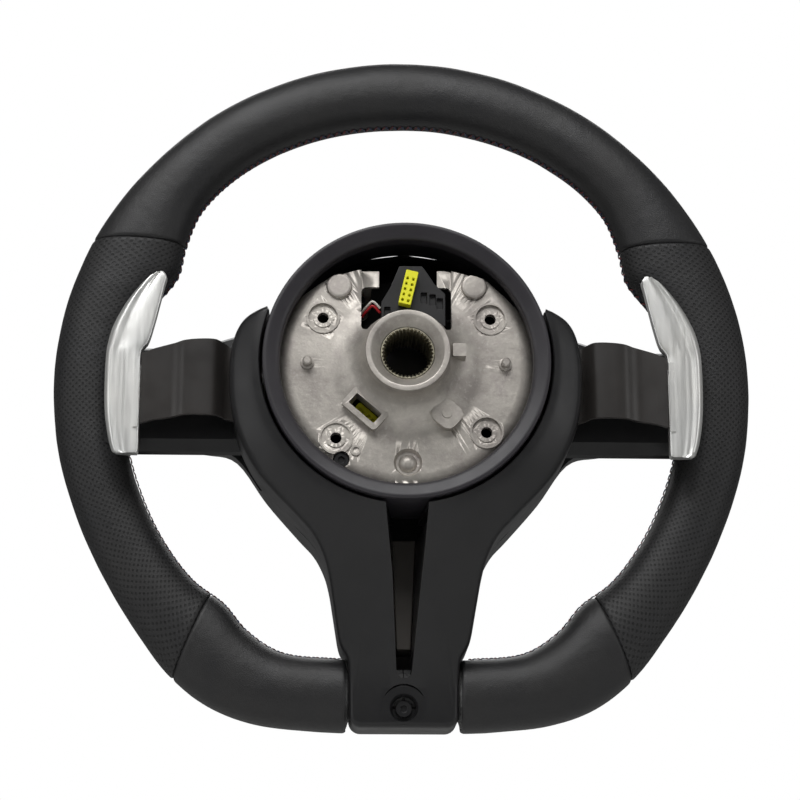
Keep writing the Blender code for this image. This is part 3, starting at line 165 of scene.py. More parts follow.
class Finish:
    """A material's node tree, with short ways to lay textures on its shader."""

    def __init__(self, name, colour, roughness, metallic=0.0, **sockets):
        self.material = bpy.data.materials.new(name)
        self.material.use_nodes = True
        self.tree = self.material.node_tree
        self.shader = self.tree.nodes["Principled BSDF"]
        self.set("Base Color", (*colour, 1.0))
        self.set("Roughness", roughness)
        self.set("Metallic", metallic)
        for socket, value in sockets.items():
            self.set(socket.replace("_", " "), value)
        self.place = self.tree.nodes.new("ShaderNodeTexCoord").outputs["Object"]
        self.normal = None

    def set(self, socket, value):
        self.shader.inputs[socket].default_value = value

    def node(self, kind, links=(), **values):
        """A node with its settings and input values given by name, and links as (input, output)."""
        made = self.tree.nodes.new("ShaderNode" + kind)
        for key, value in values.items():
            if hasattr(made, key):
                setattr(made, key, value)
            else:
                made.inputs[key.replace("_", " ")].default_value = value
        for socket, output in links:
            self.tree.links.new(output, made.inputs[socket])
        return made

    def stretched(self, scale, turn=(0.0, 0.0, 0.0), source=None):
        made = self.node("Mapping", [("Vector", source or self.place)])
        made.inputs["Scale"].default_value = scale
        made.inputs["Rotation"].default_value = turn
        return made.outputs["Vector"]

    def noise(self, scale, detail=2.0, rough=0.5, source=None):
        made = self.node("TexNoise", [("Vector", source or self.place)],
                         Scale=scale, Detail=detail, Roughness=rough)
        return made.outputs["Fac"]

    def cells(self, scale, feature="F1", randomness=1.0, source=None, dimensions="3D"):
        made = self.node("TexVoronoi", [("Vector", source or self.place)], feature=feature,
                         voronoi_dimensions=dimensions, Scale=scale, Randomness=randomness)
        return made.outputs["Distance"]

    def band(self, value, low, high, out_low=0.0, out_high=1.0):
        """The value's span from low to high, spread over out_low to out_high and held there."""
        made = self.node("MapRange", [("Value", value)], From_Min=low, From_Max=high,
                         To_Min=out_low, To_Max=out_high)
        return made.outputs["Result"]

    def maths(self, operation, a, b):
        made = self.node("Math", operation=operation)
        for socket, value in zip(made.inputs, (a, b)):
            if isinstance(value, (int, float)):
                socket.default_value = value
            else:
                self.tree.links.new(value, socket)
        return made.outputs[0]

    def blend(self, share, low, high):
        """A colour between two, each a colour or another blend, by a share from 0 to 1."""
        made = self.node("Mix", data_type="RGBA")
        self.tree.links.new(share, made.inputs["Factor"])
        for socket, value in ((made.inputs[6], low), (made.inputs[7], high)):
            if isinstance(value, tuple):
                socket.default_value = (*value, 1.0)
            else:
                self.tree.links.new(value, socket)
        return made.outputs[2]

    def drive(self, socket, output):
        self.tree.links.new(output, self.shader.inputs[socket])

    def bump(self, height, strength, distance=0.001):
        made = self.node("Bump", [("Height", height)], Strength=strength, Distance=distance)
        if self.normal:
            self.tree.links.new(self.normal, made.inputs["Normal"])
        self.normal = made.outputs["Normal"]
        self.drive("Normal", self.normal)


def leather_finish(name, perforated=False):
    """Fine-grained automotive leather, with its pores, soft creases and, on the grips, punched holes."""
    f = Finish(name, (0.013, 0.013, 0.014), 0.46, Specular_IOR_Level=0.42)
    pebble = f.cells(1050.0, "DISTANCE_TO_EDGE")
    fine = f.noise(2600.0, 3.0)
    worn = f.noise(32.0, 3.0)
    f.bump(f.band(f.noise(120.0, 3.0), 0.3, 0.7), 0.10, 0.0012)
    f.bump(f.band(pebble, 0.0, 0.22), 0.22, 0.00022)
    f.bump(fine, 0.10, 0.0001)
    colour = f.blend(f.band(worn, 0.35, 0.68), (0.0115, 0.0115, 0.0125), (0.0170, 0.0165, 0.0165))
    roughness = f.band(worn, 0.3, 0.7, 0.43, 0.51)
    if perforated:
        flat = f.node("UVMap").outputs["UV"]
        holes = f.cells(1.0, "F1", 0.0, f.stretched((1 / 0.0024, 1 / 0.0024, 1.0),
                                                    (0.0, 0.0, math.radians(45)), flat), "2D")
        # The punched holes are a bump, and their colour is darkened nearly to black: painted shade inside
        # each hole.
        pit_and_painted_shade = f.band(holes, 0.20, 0.27)
        f.bump(pit_and_painted_shade, 0.9, 0.0006)
        colour = f.blend(pit_and_painted_shade, (0.0012, 0.0012, 0.0012), colour)
        roughness = f.maths("ADD", roughness, 0.05)
    f.drive("Base Color", colour)
    f.drive("Roughness", roughness)
    return f.material


def plastic_finish(name, low, high, roughness, grain=3200.0, relief=0.12):
    """Moulded plastic: an etched grain, and a faint unevenness of colour and gloss."""
    f = Finish(name, low, roughness, Specular_IOR_Level=0.40)
    f.bump(f.noise(grain, 2.0), relief, 0.00012)
    f.bump(f.noise(90.0, 2.0), 0.035, 0.0015)
    patches = f.noise(24.0, 3.0, 0.6)
    f.drive("Base Color", f.blend(f.band(patches, 0.35, 0.65), low, high))
    f.drive("Roughness", f.band(f.noise(60.0, 4.0, 0.6), 0.3, 0.7, roughness - 0.05,
                                roughness + 0.06))
    return f.material


def cast_finish():
    """Die-cast alloy: pale skin, flow marks, dull purple-brown stains and a pitted grain."""
    f = Finish("cast_metal", (0.42, 0.40, 0.37), 0.48, 0.72)
    flow = f.noise(38.0, 6.0, 0.66)
    stain = f.noise(75.0, 5.0, 0.62)
    speck = f.noise(520.0, 4.0, 0.6)
    colour = f.blend(f.band(flow, 0.36, 0.66), (0.300, 0.275, 0.255), (0.560, 0.530, 0.480))
    colour = f.blend(f.band(stain, 0.54, 0.76, 0.0, 0.62), colour, (0.235, 0.195, 0.200))
    colour = f.blend(f.band(speck, 0.56, 0.80, 0.0, 0.40), colour, (0.70, 0.67, 0.62))
    f.drive("Base Color", colour)
    f.drive("Roughness", f.band(flow, 0.3, 0.7, 0.54, 0.40))
    f.bump(flow, 0.22, 0.0010)
    f.bump(stain, 0.16, 0.0008)
    f.bump(speck, 0.14, 0.0004)
    f.bump(f.cells(900.0), 0.06, 0.0003)
    return f.material


def steel_finish(name, colour, roughness, turned=False):
    """Plated or machined steel, with fine tool marks round the Y axis when it is turned."""
    f = Finish(name, colour, roughness, 1.0)
    marks = f.noise(260.0, 4.0, 0.6)
    dark = tuple(c * 0.62 for c in colour)
    f.drive("Base Color", f.blend(f.band(marks, 0.3, 0.7), dark, colour))
    f.drive("Roughness", f.band(f.noise(120.0, 3.0), 0.3, 0.7, roughness - 0.06, roughness + 0.10))
    f.bump(marks, 0.08, 0.0003)
    if turned:
        rings = f.node("TexWave", [("Vector", f.place)], wave_type="RINGS",
                       rings_direction="Y", Scale=420.0, Distortion=0.6)
        f.bump(rings.outputs["Fac"], 0.10, 0.0002)
    return f.material


def silver_finish():
    """Satin silver paddle: a fine blasted grain with long faint polishing lines."""
    f = Finish("satin_silver", (0.74, 0.74, 0.71), 0.34, 0.85)
    lines = f.noise(1.0, 3.0, 0.6, f.stretched((900.0, 900.0, 40.0)))
    warm = f.noise(22.0, 2.0)
    f.drive("Base Color", f.blend(f.band(warm, 0.35, 0.65), (0.70, 0.705, 0.69), (0.79, 0.785, 0.755)))
    f.drive("Roughness", f.band(lines, 0.3, 0.7, 0.30, 0.42))
    f.bump(lines, 0.05, 0.0002)
    f.bump(f.noise(4200.0, 2.0), 0.08, 0.0001)
    return f.material


def thread_finish(name, colour):
    f = Finish(name, colour, 0.62, Sheen_Weight=0.35, Sheen_Roughness=0.4)
    strands = f.noise(2200.0, 2.0)
    f.drive("Base Color", f.blend(strands, tuple(c * 0.45 for c in colour), colour))
    f.bump(strands, 0.5, 0.0002)
    return f.material


def foam_finish():
    f = Finish("grey_foam", (0.10, 0.10, 0.10), 0.88)
    bubbles = f.cells(700.0)
    f.drive("Base Color", f.blend(f.band(bubbles, 0.1, 0.6), (0.05, 0.05, 0.05), (0.13, 0.13, 0.13)))
    f.bump(bubbles, 0.6, 0.0006)
    return f.material


def board_finish():
    """Green solder mask with its copper tracks just showing."""
    f = Finish("circuit_board", (0.03, 0.16, 0.07), 0.35)
    tracks = f.node("TexBrick", [("Vector", f.stretched((260.0, 260.0, 260.0)))], Scale=1.0,
                    Mortar_Size=0.08, Color1=(0.02, 0.12, 0.05, 1), Color2=(0.025, 0.15, 0.06, 1),
                    Mortar=(0.07, 0.26, 0.11, 1))
    f.drive("Base Color", tracks.outputs["Color"])
    f.drive("Roughness", f.band(f.noise(300.0), 0.3, 0.7, 0.28, 0.42))
    f.bump(tracks.outputs["Fac"], 0.25, 0.0001)
    return f.material


LOOKS = {
    "leather": leather_finish("black_leather"),
    "grip": leather_finish("perforated_leather", perforated=True),
    "black": plastic_finish("black_plastic", (0.0085, 0.0085, 0.0092), (0.0125, 0.0122, 0.0130), 0.36),
    "arm": plastic_finish("paddle_arm_finish", (0.022, 0.020, 0.019), (0.030, 0.027, 0.025), 0.34,
                          4200.0, 0.06),
    "grey": plastic_finish("grey_plastic", (0.022, 0.020, 0.024), (0.029, 0.027, 0.031), 0.42),
    "strip": plastic_finish("slit_strip", (0.070, 0.062, 0.055), (0.092, 0.083, 0.074), 0.50),
    "yellow": plastic_finish("yellow_plastic", (0.72, 0.70, 0.012), (0.82, 0.80, 0.020), 0.38,
                             2400.0, 0.08),
    "cast": cast_finish(),
    "steel": steel_finish("steel", (0.52, 0.51, 0.48), 0.32),
    "bush": steel_finish("turned_steel", (0.40, 0.37, 0.28), 0.34, turned=True),
    "silver": silver_finish(),
    "foam": foam_finish(),
    "board": board_finish(),
    "red": plastic_finish("red_wire", (0.42, 0.012, 0.018), (0.52, 0.020, 0.026), 0.38),
    "white": plastic_finish("white_wire", (0.66, 0.64, 0.58), (0.74, 0.72, 0.66), 0.40),
    "red_thread": thread_finish("red_thread", (0.15, 0.008, 0.014)),
    "blue_thread": thread_finish("blue_thread", (0.010, 0.020, 0.085)),
}


# ---------------------------------------------------------------- small tools


def table(rows, at, column=1):
    """Smooth cubic through the rows' (key, ..., value) pairs, flat beyond both ends."""
    keys = [row[0] for row in rows]
    values = [row[column] for row in rows]
    if at <= keys[0]:
        return values[0]
    if at >= keys[-1]:
        return values[-1]
    i = max(n for n, key in enumerate(keys) if key <= at)

    def slope(n):
        if n == 0 or n == len(keys) - 1:
            return 0.0
        return (values[n + 1] - values[n - 1]) / (keys[n + 1] - keys[n - 1])

    span = keys[i + 1] - keys[i]
    t = (at - keys[i]) / span
    return (
        values[i] * (1 + 2 * t) * (1 - t) ** 2
        + values[i + 1] * t * t * (3 - 2 * t)
        + slope(i) * span * t * (1 - t) ** 2
        - slope(i + 1) * span * t * t * (1 - t)
    )


def circle_angles(count):
    """Evenly spaced angles round a full circle, in radians."""
    return [2 * math.pi * n / count for n in range(count)]


def object_from(bm, name, look, smooth=35.0):
    """A new object from a bmesh, with its faces outward, its finish and its sharp edges marked."""
    bmesh.ops.recalc_face_normals(bm, faces=bm.faces)
    if bm.calc_volume(signed=True) < 0:
        bmesh.ops.reverse_faces(bm, faces=bm.faces)
    mesh = bpy.data.meshes.new(name)
    bm.to_mesh(mesh)
    bm.free()
    mesh.materials.append(LOOKS[look])
    mesh.shade_smooth()
    mesh.set_sharp_from_angle(angle=math.radians(smooth))
    obj = bpy.data.objects.new(name, mesh)
    bpy.context.scene.collection.objects.link(obj)
    return obj


def skin_rings(bm, rings, closed=False):
    """Joins equal rings of points with quads, and caps the ends unless the run is closed."""
    loops = [[bm.verts.new(p) for p in ring] for ring in rings]
    count = len(loops[0])
    pairs = list(zip(loops, loops[1:]))
    if closed:
        pairs.append((loops[-1], loops[0]))
    for a, b in pairs:
        for i in range(count):
            j = (i + 1) % count
            bm.faces.new((a[i], a[j], b[j], b[i]))
    if not closed:
        bm.faces.new(loops[0])
        bm.faces.new(tuple(reversed(loops[-1])))


def skin(name, rings, look, closed=False, smooth=35.0):
    bm = bmesh.new()
    skin_rings(bm, rings, closed)
    return object_from(bm, name, look, smooth)


def sleeve(name, outer_rings, inner_rings, look, lengths=None):
    """A tube with a wall, open at both ends. UVs are in metres, along its length and round it."""
    bm = bmesh.new()
    uv = bm.loops.layers.uv.new("UVMap")
    outer = [[bm.verts.new(p) for p in ring] for ring in outer_rings]
    inner = [[bm.verts.new(p) for p in ring] for ring in inner_rings]
    count = len(outer[0])
    around = [0.0]
    middle = outer_rings[len(outer_rings) // 2]
    for i in range(count):
        around.append(around[-1] + (middle[(i + 1) % count] - middle[i]).length)
    for side in (outer, inner):
        for n, (a, b) in enumerate(zip(side, side[1:])):
            for i in range(count):
                j = (i + 1) % count
                face = bm.faces.new((a[i], a[j], b[j], b[i]))
                if lengths:
                    places = ((n, i), (n, i + 1), (n + 1, i + 1), (n + 1, i))
                    for loop, (along, across) in zip(face.loops, places):
                        loop[uv].uv = (lengths[along], around[across])
    for a, b in ((outer[0], inner[0]), (inner[-1], outer[-1])):
        for i in range(count):
            j = (i + 1) % count
            bm.faces.new((a[i], b[i], b[j], a[j]))
    return object_from(bm, name, look)


def lathe(name, profile, look, segments=128, smooth=35.0):
    """A closed (radius, y) profile, turned round the Y axis."""
    rings = [[Vector((r * math.sin(a), y, r * math.cos(a))) for r, y in profile]
             for a in circle_angles(segments)]
    return skin(name, rings, look, closed=True, smooth=smooth)


def pad_lathe(name, profile, look, segments=96):
    """A lathe whose profile starts and ends on the axis."""
    bm = bmesh.new()
    poles = bm.verts.new((0.0, profile[0][1], 0.0)), bm.verts.new((0.0, profile[-1][1], 0.0))
    rings = []
    for r, y in profile[1:-1]:
        rings.append([bm.verts.new((r * math.sin(a), y, r * math.cos(a))) for a in circle_angles(segments)])
    for i in range(segments):
        j = (i + 1) % segments
        bm.faces.new((poles[0], rings[0][j], rings[0][i]))
        bm.faces.new((poles[1], rings[-1][i], rings[-1][j]))
        for a, b in zip(rings, rings[1:]):
            bm.faces.new((a[i], a[j], b[j], b[i]))
    return object_from(bm, name, look)


def prism(outline, y0, y1, look="cast"):
    """A body with one (x, z) outline, from y0 to y1."""
    return skin("tool", [[Vector((x, y, z)) for x, z in outline] for y in (y0, y1)], look)


def stack(x, z, rows, look="cast", segments=40):
    """Round sections given as (y, radius) rows, from one end to the other."""
    rings = [[Vector((x + r * math.sin(a), y, z + r * math.cos(a))) for a in circle_angles(segments)]
             for y, r in rows]
    return skin("tool", rings, look)


def ring_body(x, z, inner, outer, y0, y1, look="cast", segments=40):
    """A raised ring about an axis along Y."""
    rings = [[Vector((x + r * math.sin(a), y, z + r * math.cos(a)))
              for r, y in ((inner, y1), (inner, y0), (outer, y0), (outer, y1))]
             for a in circle_angles(segments)]
    return skin("tool", rings, look, closed=True)


def rod(start, end, radius, look, segments=32):
    start, end = Vector(start), Vector(end)
    along = (end - start).normalized()
    side = along.orthogonal().normalized()
    other = along.cross(side)
    rings = [[centre + radius * (math.cos(a) * side + math.sin(a) * other) for a in circle_angles(segments)]
             for centre in (start, end)]
    return skin("tool", rings, look)


def block(low, high, look="cast"):
    bm = bmesh.new()
    bmesh.ops.create_cube(bm, size=1.0)
    low, high = Vector(low), Vector(high)
    for v in bm.verts:
        v.co = Vector([low[i] if v.co[i] < 0 else high[i] for i in range(3)])
    return object_from(bm, "tool", look)


def rounded_rectangle(half_x, half_z, corner, centre=(0.0, 0.0), turn=0.0, steps=6):
    points = []
    for quarter, (sx, sz) in enumerate(((1, 1), (-1, 1), (-1, -1), (1, -1))):
        for n in range(steps + 1):
            a = math.pi / 2 * (quarter + n / steps)
            points.append((sx * (half_x - corner) + corner * math.cos(a),
                           sz * (half_z - corner) + corner * math.sin(a)))
    c, s = math.cos(math.radians(turn)), math.sin(math.radians(turn))
    return [(centre[0] + x * c - z * s, centre[1] + x * s + z * c) for x, z in points]


def joined(tools):
    """Several bodies that stay clear of each other, as the one tool of a single Boolean."""
    bm = bmesh.new()
    for tool in tools:
        bm.from_mesh(tool.data)
        bpy.data.objects.remove(tool)
    return object_from(bm, "tool", "cast")


def boolean(target, tools, operation):
    """Applies one Boolean with every tool at once, and removes the tools."""
    tool = joined(tools) if len(tools) > 1 else tools[0]
    modifier = target.modifiers.new("Boolean", "BOOLEAN")
    modifier.operation = operation
    modifier.object = tool
    graph = bpy.context.evaluated_depsgraph_get()
    mesh = bpy.data.meshes.new_from_object(target.evaluated_get(graph))
    target.modifiers.clear()
    old, target.data = target.data, mesh
    look = old.materials[0]
    mesh.materials.clear()
    mesh.materials.append(look)
    bpy.data.meshes.remove(old)
    bpy.data.objects.remove(tool)
    return target


def cut(target, *tools):
    return boolean(target, tools, "DIFFERENCE")


def fuse(target, *tools):
    return boolean(target, tools, "UNION")


def bevelled(obj, width, segments=2, angle=40.0):
    """Rounds the edges that are sharper than an angle, and evens out the shading beside them."""
    modifier = obj.modifiers.new("Bevel", "BEVEL")
    modifier.width = width
    modifier.segments = segments
    modifier.limit_method = "ANGLE"
    modifier.angle_limit = math.radians(angle)
    modifier.harden_normals = False
    modifier.use_clamp_overlap = True
    modifier.miter_outer = "MITER_ARC"
    shading = obj.modifiers.new("Weighted normals", "WEIGHTED_NORMAL")
    shading.keep_sharp = True
    shading.weight = 80
    return obj


RECORD = frame["record"]
BODY_OF = {n: body for body, names in RECORD["behaviour"]["bodies"].items() for n in names}


def stands_for(obj, *nodes, name=None):
    """Names the piece, has it ride with the frame node's body, and hides the frame node it stands for."""
    obj.name = name or "visual_" + nodes[0]
    obj.data.name = obj.name
    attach(obj, BODY_OF[nodes[0]])
    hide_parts(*nodes)
    return obj


def refined(node, look, bevel=0.0003, segments=2, angle=30.0, rounding=0):
    """A welded copy of a small frame node, with its edges rounded, which then stands for it."""
    bm = bmesh.new()
    bm.from_mesh(frame["nodes"][node].data)
    bmesh.ops.remove_doubles(bm, verts=bm.verts, dist=2e-6)
    bmesh.ops.dissolve_limit(bm, angle_limit=math.radians(0.6), verts=bm.verts, edges=bm.edges)
    obj = object_from(bm, node, look, 30.0)
    if rounding:
        divide = obj.modifiers.new("Rounding", "SUBSURF")
        divide.levels = divide.render_levels = rounding
    if bevel:
        bevelled(obj, bevel, segments, angle)
    return stands_for(obj, node)


def other_side(obj):
    """A mirror image across the YZ plane of a right-hand piece."""
    bm = bmesh.new()
    bm.from_mesh(obj.data)
    for v in bm.verts:
        v.co.x = -v.co.x
    copy = object_from(bm, "tool", "black")
    copy.data.materials.clear()
    copy.data.materials.append(obj.data.materials[0])
    return copy


def both_sides(right, suffix, width, segments=3, angle=40.0):
    """Places a right-hand piece and its mirror image, with their edges rounded."""
    left = other_side(right)
    for side, obj in (("right", right), ("left", left)):
        bevelled(obj, width, segments, angle)
        stands_for(obj, f"{side}_{suffix}")


def smooth_line(points, per_span):
    """A Catmull-Rom curve through the points."""
    points = [Vector(p) for p in points]
    ends = [2 * points[0] - points[1], *points, 2 * points[-1] - points[-2]]
    line = []
    for a, b, c, d in zip(ends, ends[1:], ends[2:], ends[3:]):
        for n in range(per_span):
            t = n / per_span
            line.append(0.5 * (2 * b + (c - a) * t + (2 * a - 5 * b + 4 * c - d) * t * t
                               + (3 * b - a - 3 * c + d) * t ** 3))
    return [*line, points[-1]]


# ---------------------------------------------------------------- rim


def rim_frame(degrees, inset=0.0):
    """Centre, and the half axes in the rim's plane and across it, of the section at an angle."""
    around = abs(degrees)
    skew = table(RIM_SKEW, around)
    ends = []
    for column, shift in ((1, -skew), (2, skew)):
        at = around + shift
        radius = table(RIM_STATIONS, at, column)
        a = math.radians(math.copysign(at, degrees))
        ends.append(Vector((radius * math.sin(a), RIM_Y, radius * math.cos(a) - RIM_DROP)))
    half = (ends[1] - ends[0]) / 2
    half *= (half.length - inset) / half.length
    return (ends[0] + ends[1]) / 2, half, Vector((0.0, RIM_HALF_DEPTH - inset, 0.0))


def rim_point(degrees, turn, inset=0.0):
    """A point on the rim's section. Turn is 0 at the outer side and pi at the inner side."""
    centre, half, depth = rim_frame(degrees, inset)
    c, s = math.cos(turn), math.sin(turn)
    return (centre + half * math.copysign(abs(c) ** 0.9, c)
            + depth * math.copysign(abs(s) ** 0.9, s))


def rim_section(degrees, inset=0.0, sides=12):
    return [rim_point(degrees, turn, inset) for turn in circle_angles(sides)]


def rim_surface(degrees, inset, sides=56):
    """The leather's outer section: hand-stretched and uneven, with a groove along its inner seam."""
    ring = []
    for turn in circle_angles(sides):
        p = rim_point(degrees, turn)
        wave = 0.00035 * noise.noise(p * 34.0) + 0.00010 * noise.noise(p * 120.0)
        off = abs((turn - math.pi) * 0.0165)
        groove = 0.00055 * max(0.0, 1.0 - (off / 0.0016) ** 2)
        ring.append(rim_point(degrees, turn, max(0.0, 0.0001 + inset + wave) + groove))
    return ring


def rim_angles(start, end, step):
    count = max(1, round(abs(end - start) / step))
    return [start + (end - start) * n / count for n in range(count + 1)]


def rim_panel(node, start, end, look):
    """One leather panel, rolled under where it meets the next at a seam."""
    low, high = start + SEAM_HALF_GAP, end - SEAM_HALF_GAP
    near = (0.0, 0.10, 0.25, 0.45, 0.75)
    angles = [low + d for d in near] + rim_angles(low + 1.2, high - 1.2, 1.2)
    angles += [high - d for d in reversed(near)]
    outer, inner, lengths = [], [], []
    for a in angles:
        d = min(a - low, high - a)
        roll = 0.00085 * max(0.0, 1.0 - d / 0.55) ** 2
        outer.append(rim_surface(a, roll))
        inner.append(rim_section(a, LEATHER, 56))
        lengths.append(math.radians(a) * 0.170)
    return stands_for(sleeve(node, outer, inner, look, lengths), node)


def arm_cutter(outward, offset, half_width, reach=1.0):
    """A channel through leather and foam to the core, a little wider than the arm in it."""
    outward, offset = Vector(outward), Vector(offset)
    across = offset.normalized()
    rings = []
    for out in (0.1300, 0.1655):
        middle = outward * out * reach + offset
        rings.append([middle + across * half_width * sign + Vector((0, y, 0))
                      for sign, y in ((-1, 0.0645), (1, 0.0645), (1, 0.0815), (-1, 0.0815))])
    return skin("tool", rings, "cast")


def stitches(name, look, phase):
    """Short waxed stitches that cross the rim's inner seam, all of one thread colour."""
    bm = bmesh.new()
    pitch = 4.4 / 0.148 / 1000
    count = int(math.radians(LEATHER_END * 2 - 2) / pitch)
    for n in range(count):
        degrees = -LEATHER_END + 1 + math.degrees(pitch) * (n + 0.5 + 0.18 * phase)
        if abs(abs(degrees) - 90 - math.degrees(ARM_Z / 0.148)) < 11.5:
            continue
        lean = math.degrees(0.0013 / 0.148) * phase
        ends = [rim_point(degrees - lean, math.pi - 0.115, -0.00012),
                rim_point(degrees - lean * 0.3, math.pi - 0.05, -0.00042),
                rim_point(degrees + lean * 0.3, math.pi + 0.05, -0.00042),
                rim_point(degrees + lean, math.pi + 0.115, -0.00012)]
        line = smooth_line(ends, 2)
        rings = []
        out = (line[0] - rim_frame(degrees)[0]).normalized()
        for i, p in enumerate(line):
            along = (line[min(i + 1, len(line) - 1)] - line[max(i - 1, 0)]).normalized()
            side = along.cross(out).normalized()
            up = side.cross(along)
            radius = 0.00036 * (0.55 if i in (0, len(line) - 1) else 1.0)
            rings.append([p + radius * (math.cos(t) * side + math.sin(t) * up)
                          for t in circle_angles(6)])
        skin_rings(bm, rings)
    obj = object_from(bm, name, look, 60.0)
    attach(obj, "wheel")


def rim():
    """The leather panels with their stitches, and the foam and core inside them."""
    side_channels = {s: arm_cutter((s, 0, 0), (0, 0, ARM_Z), 0.0095) for s in (1, -1)}
    panels = [rim_panel("rim_leather_top", -UPPER_SEAM, UPPER_SEAM, "leather")]
    for side, word in ((1, "right"), (-1, "left")):
        grip = sorted((side * UPPER_SEAM, side * LOWER_SEAM))
        lower = sorted((side * LOWER_SEAM, side * LEATHER_END))
        panels.append(cut(rim_panel(f"rim_leather_{word}_grip", *grip, "grip"),
                          side_channels[side]))
        panels.append(rim_panel(f"rim_leather_lower_{word}", *lower, "leather"))
    refined("rim_foam", "foam", 0.0)
    refined("rim_core", "steel", 0.0, rounding=1)
    stitches("red_stitches", "red_thread", 1)
    stitches("blue_stitches", "blue_thread", -1)


# ---------------------------------------------------------------- hub


SCREW_PADS = ((-0.0427, 0.0245, 0.0012), (0.0432, 0.0245, 0.0012), (-0.0356, -0.0395, 0.0003),
              (0.0407, -0.0358, 0.0012))
LOCATING_PINS = ((-0.0505, 0.0), (0.0507, 0.0))
PLATE_TOP = (  # x, z of the plate's upper edge, which leaves the top of the recess open
    (-0.0680, 0.0200), (-0.0644, 0.0244), (-0.0541, 0.0366), (-0.0395, 0.0463), (-0.0249, 0.0505),
    (0.0200, 0.0512), (0.0290, 0.0490), (0.0420, 0.0451), (0.0578, 0.0305), (0.0626, 0.0244),
    (0.0680, 0.0200),
)
KNOBS = ((-0.0345, 0.0414), (0.0350, 0.0417))


def hub_profile():
    """(radius, y) of the boss and plate: the plate flares into the boss in one smooth curve."""
    profile = [(BUSH_RADIUS + GAP, 0.0050), (0.0160, 0.0026), (0.0182, 0.0004), (0.0186, 0.0001),
               (0.0190, 0.0), (0.0208, 0.0), (0.0211, 0.0001), (BOSS_RADIUS, 0.0004)]
    flare = ((0.0070, 0.0213), (0.0098, 0.0219), (0.0130, 0.0235), (0.0158, 0.0255),
             (0.0190, 0.0290), (0.0212, 0.0330), (0.0228, 0.0372), (0.0235, 0.0400))
    for n in range(15):
        y = 0.0070 + 0.0165 * n / 14
        profile.append((table(flare, y), y))
    profile += [(0.0580, PLATE_REAR_Y), (0.0608, 0.0239), (0.0630, 0.0248), (0.0650, 0.0264),
                (PLATE_RADIUS, 0.0283), (PLATE_RADIUS, 0.0320), (0.0610, PLATE_FRONT_Y),
                (0.0300, PLATE_FRONT_Y), (0.0240, 0.0330), (BUSH_RADIUS + GAP, 0.0330)]
    return profile


def spoke_arm(outward, offset, widest, reach=1.0):
    """A cast arm from the plate to the core, which steps forward behind the collar."""
    outward, offset = Vector(outward), Vector(offset)
    across = offset.normalized()
    rows = ((0.0500, 0.0255, 0.0320, 0.0115), (0.0570, 0.0285, 0.0450, 0.0115),
            (0.0635, 0.0610, 0.0665, 0.0115), (0.0690, 0.0625, 0.0695, 0.0110),
            (0.1200, 0.0650, 0.0725, 0.0090), (0.1500, 0.0695, 0.0790, 0.0080),
            (0.1650, 0.0702, 0.0798, 0.0070))
    rings = []
    for out, rear, front, half in rows:
        middle = outward * (out * reach if out > 0.1 else out) + offset
        half = min(half, widest)
        rings.append([middle + across * half * sign + Vector((0, y, 0))
                      for sign, y in ((-1, rear), (1, rear), (1, front), (-1, front))])
    return skin("tool", rings, "cast")


def standoffs():
    """x, z of the three stand-offs that carry the horn pad."""
    angles = [math.radians(angle) for angle in (90, 210, 330)]
    return [(0.046 * math.sin(a), 0.046 * math.cos(a)) for a in angles]


def core_cutter():
    """Clears the ends of the arms round the core."""
    rings = []
    for degrees in [-168.0, *rim_angles(-160, 160, 8.0), 168.0, 180.0]:
        ring = rim_section(degrees)
        centre = sum(ring, Vector()) / len(ring)
        outward = Vector((centre.x, 0.0, centre.z + RIM_DROP)).normalized()
        rings.append([centre + (CORE_RADIUS + GAP) * (math.cos(a) * outward + Vector((0, math.sin(a), 0)))
                      for a in circle_angles(8)])
    return skin("tool", rings, "cast", closed=True)


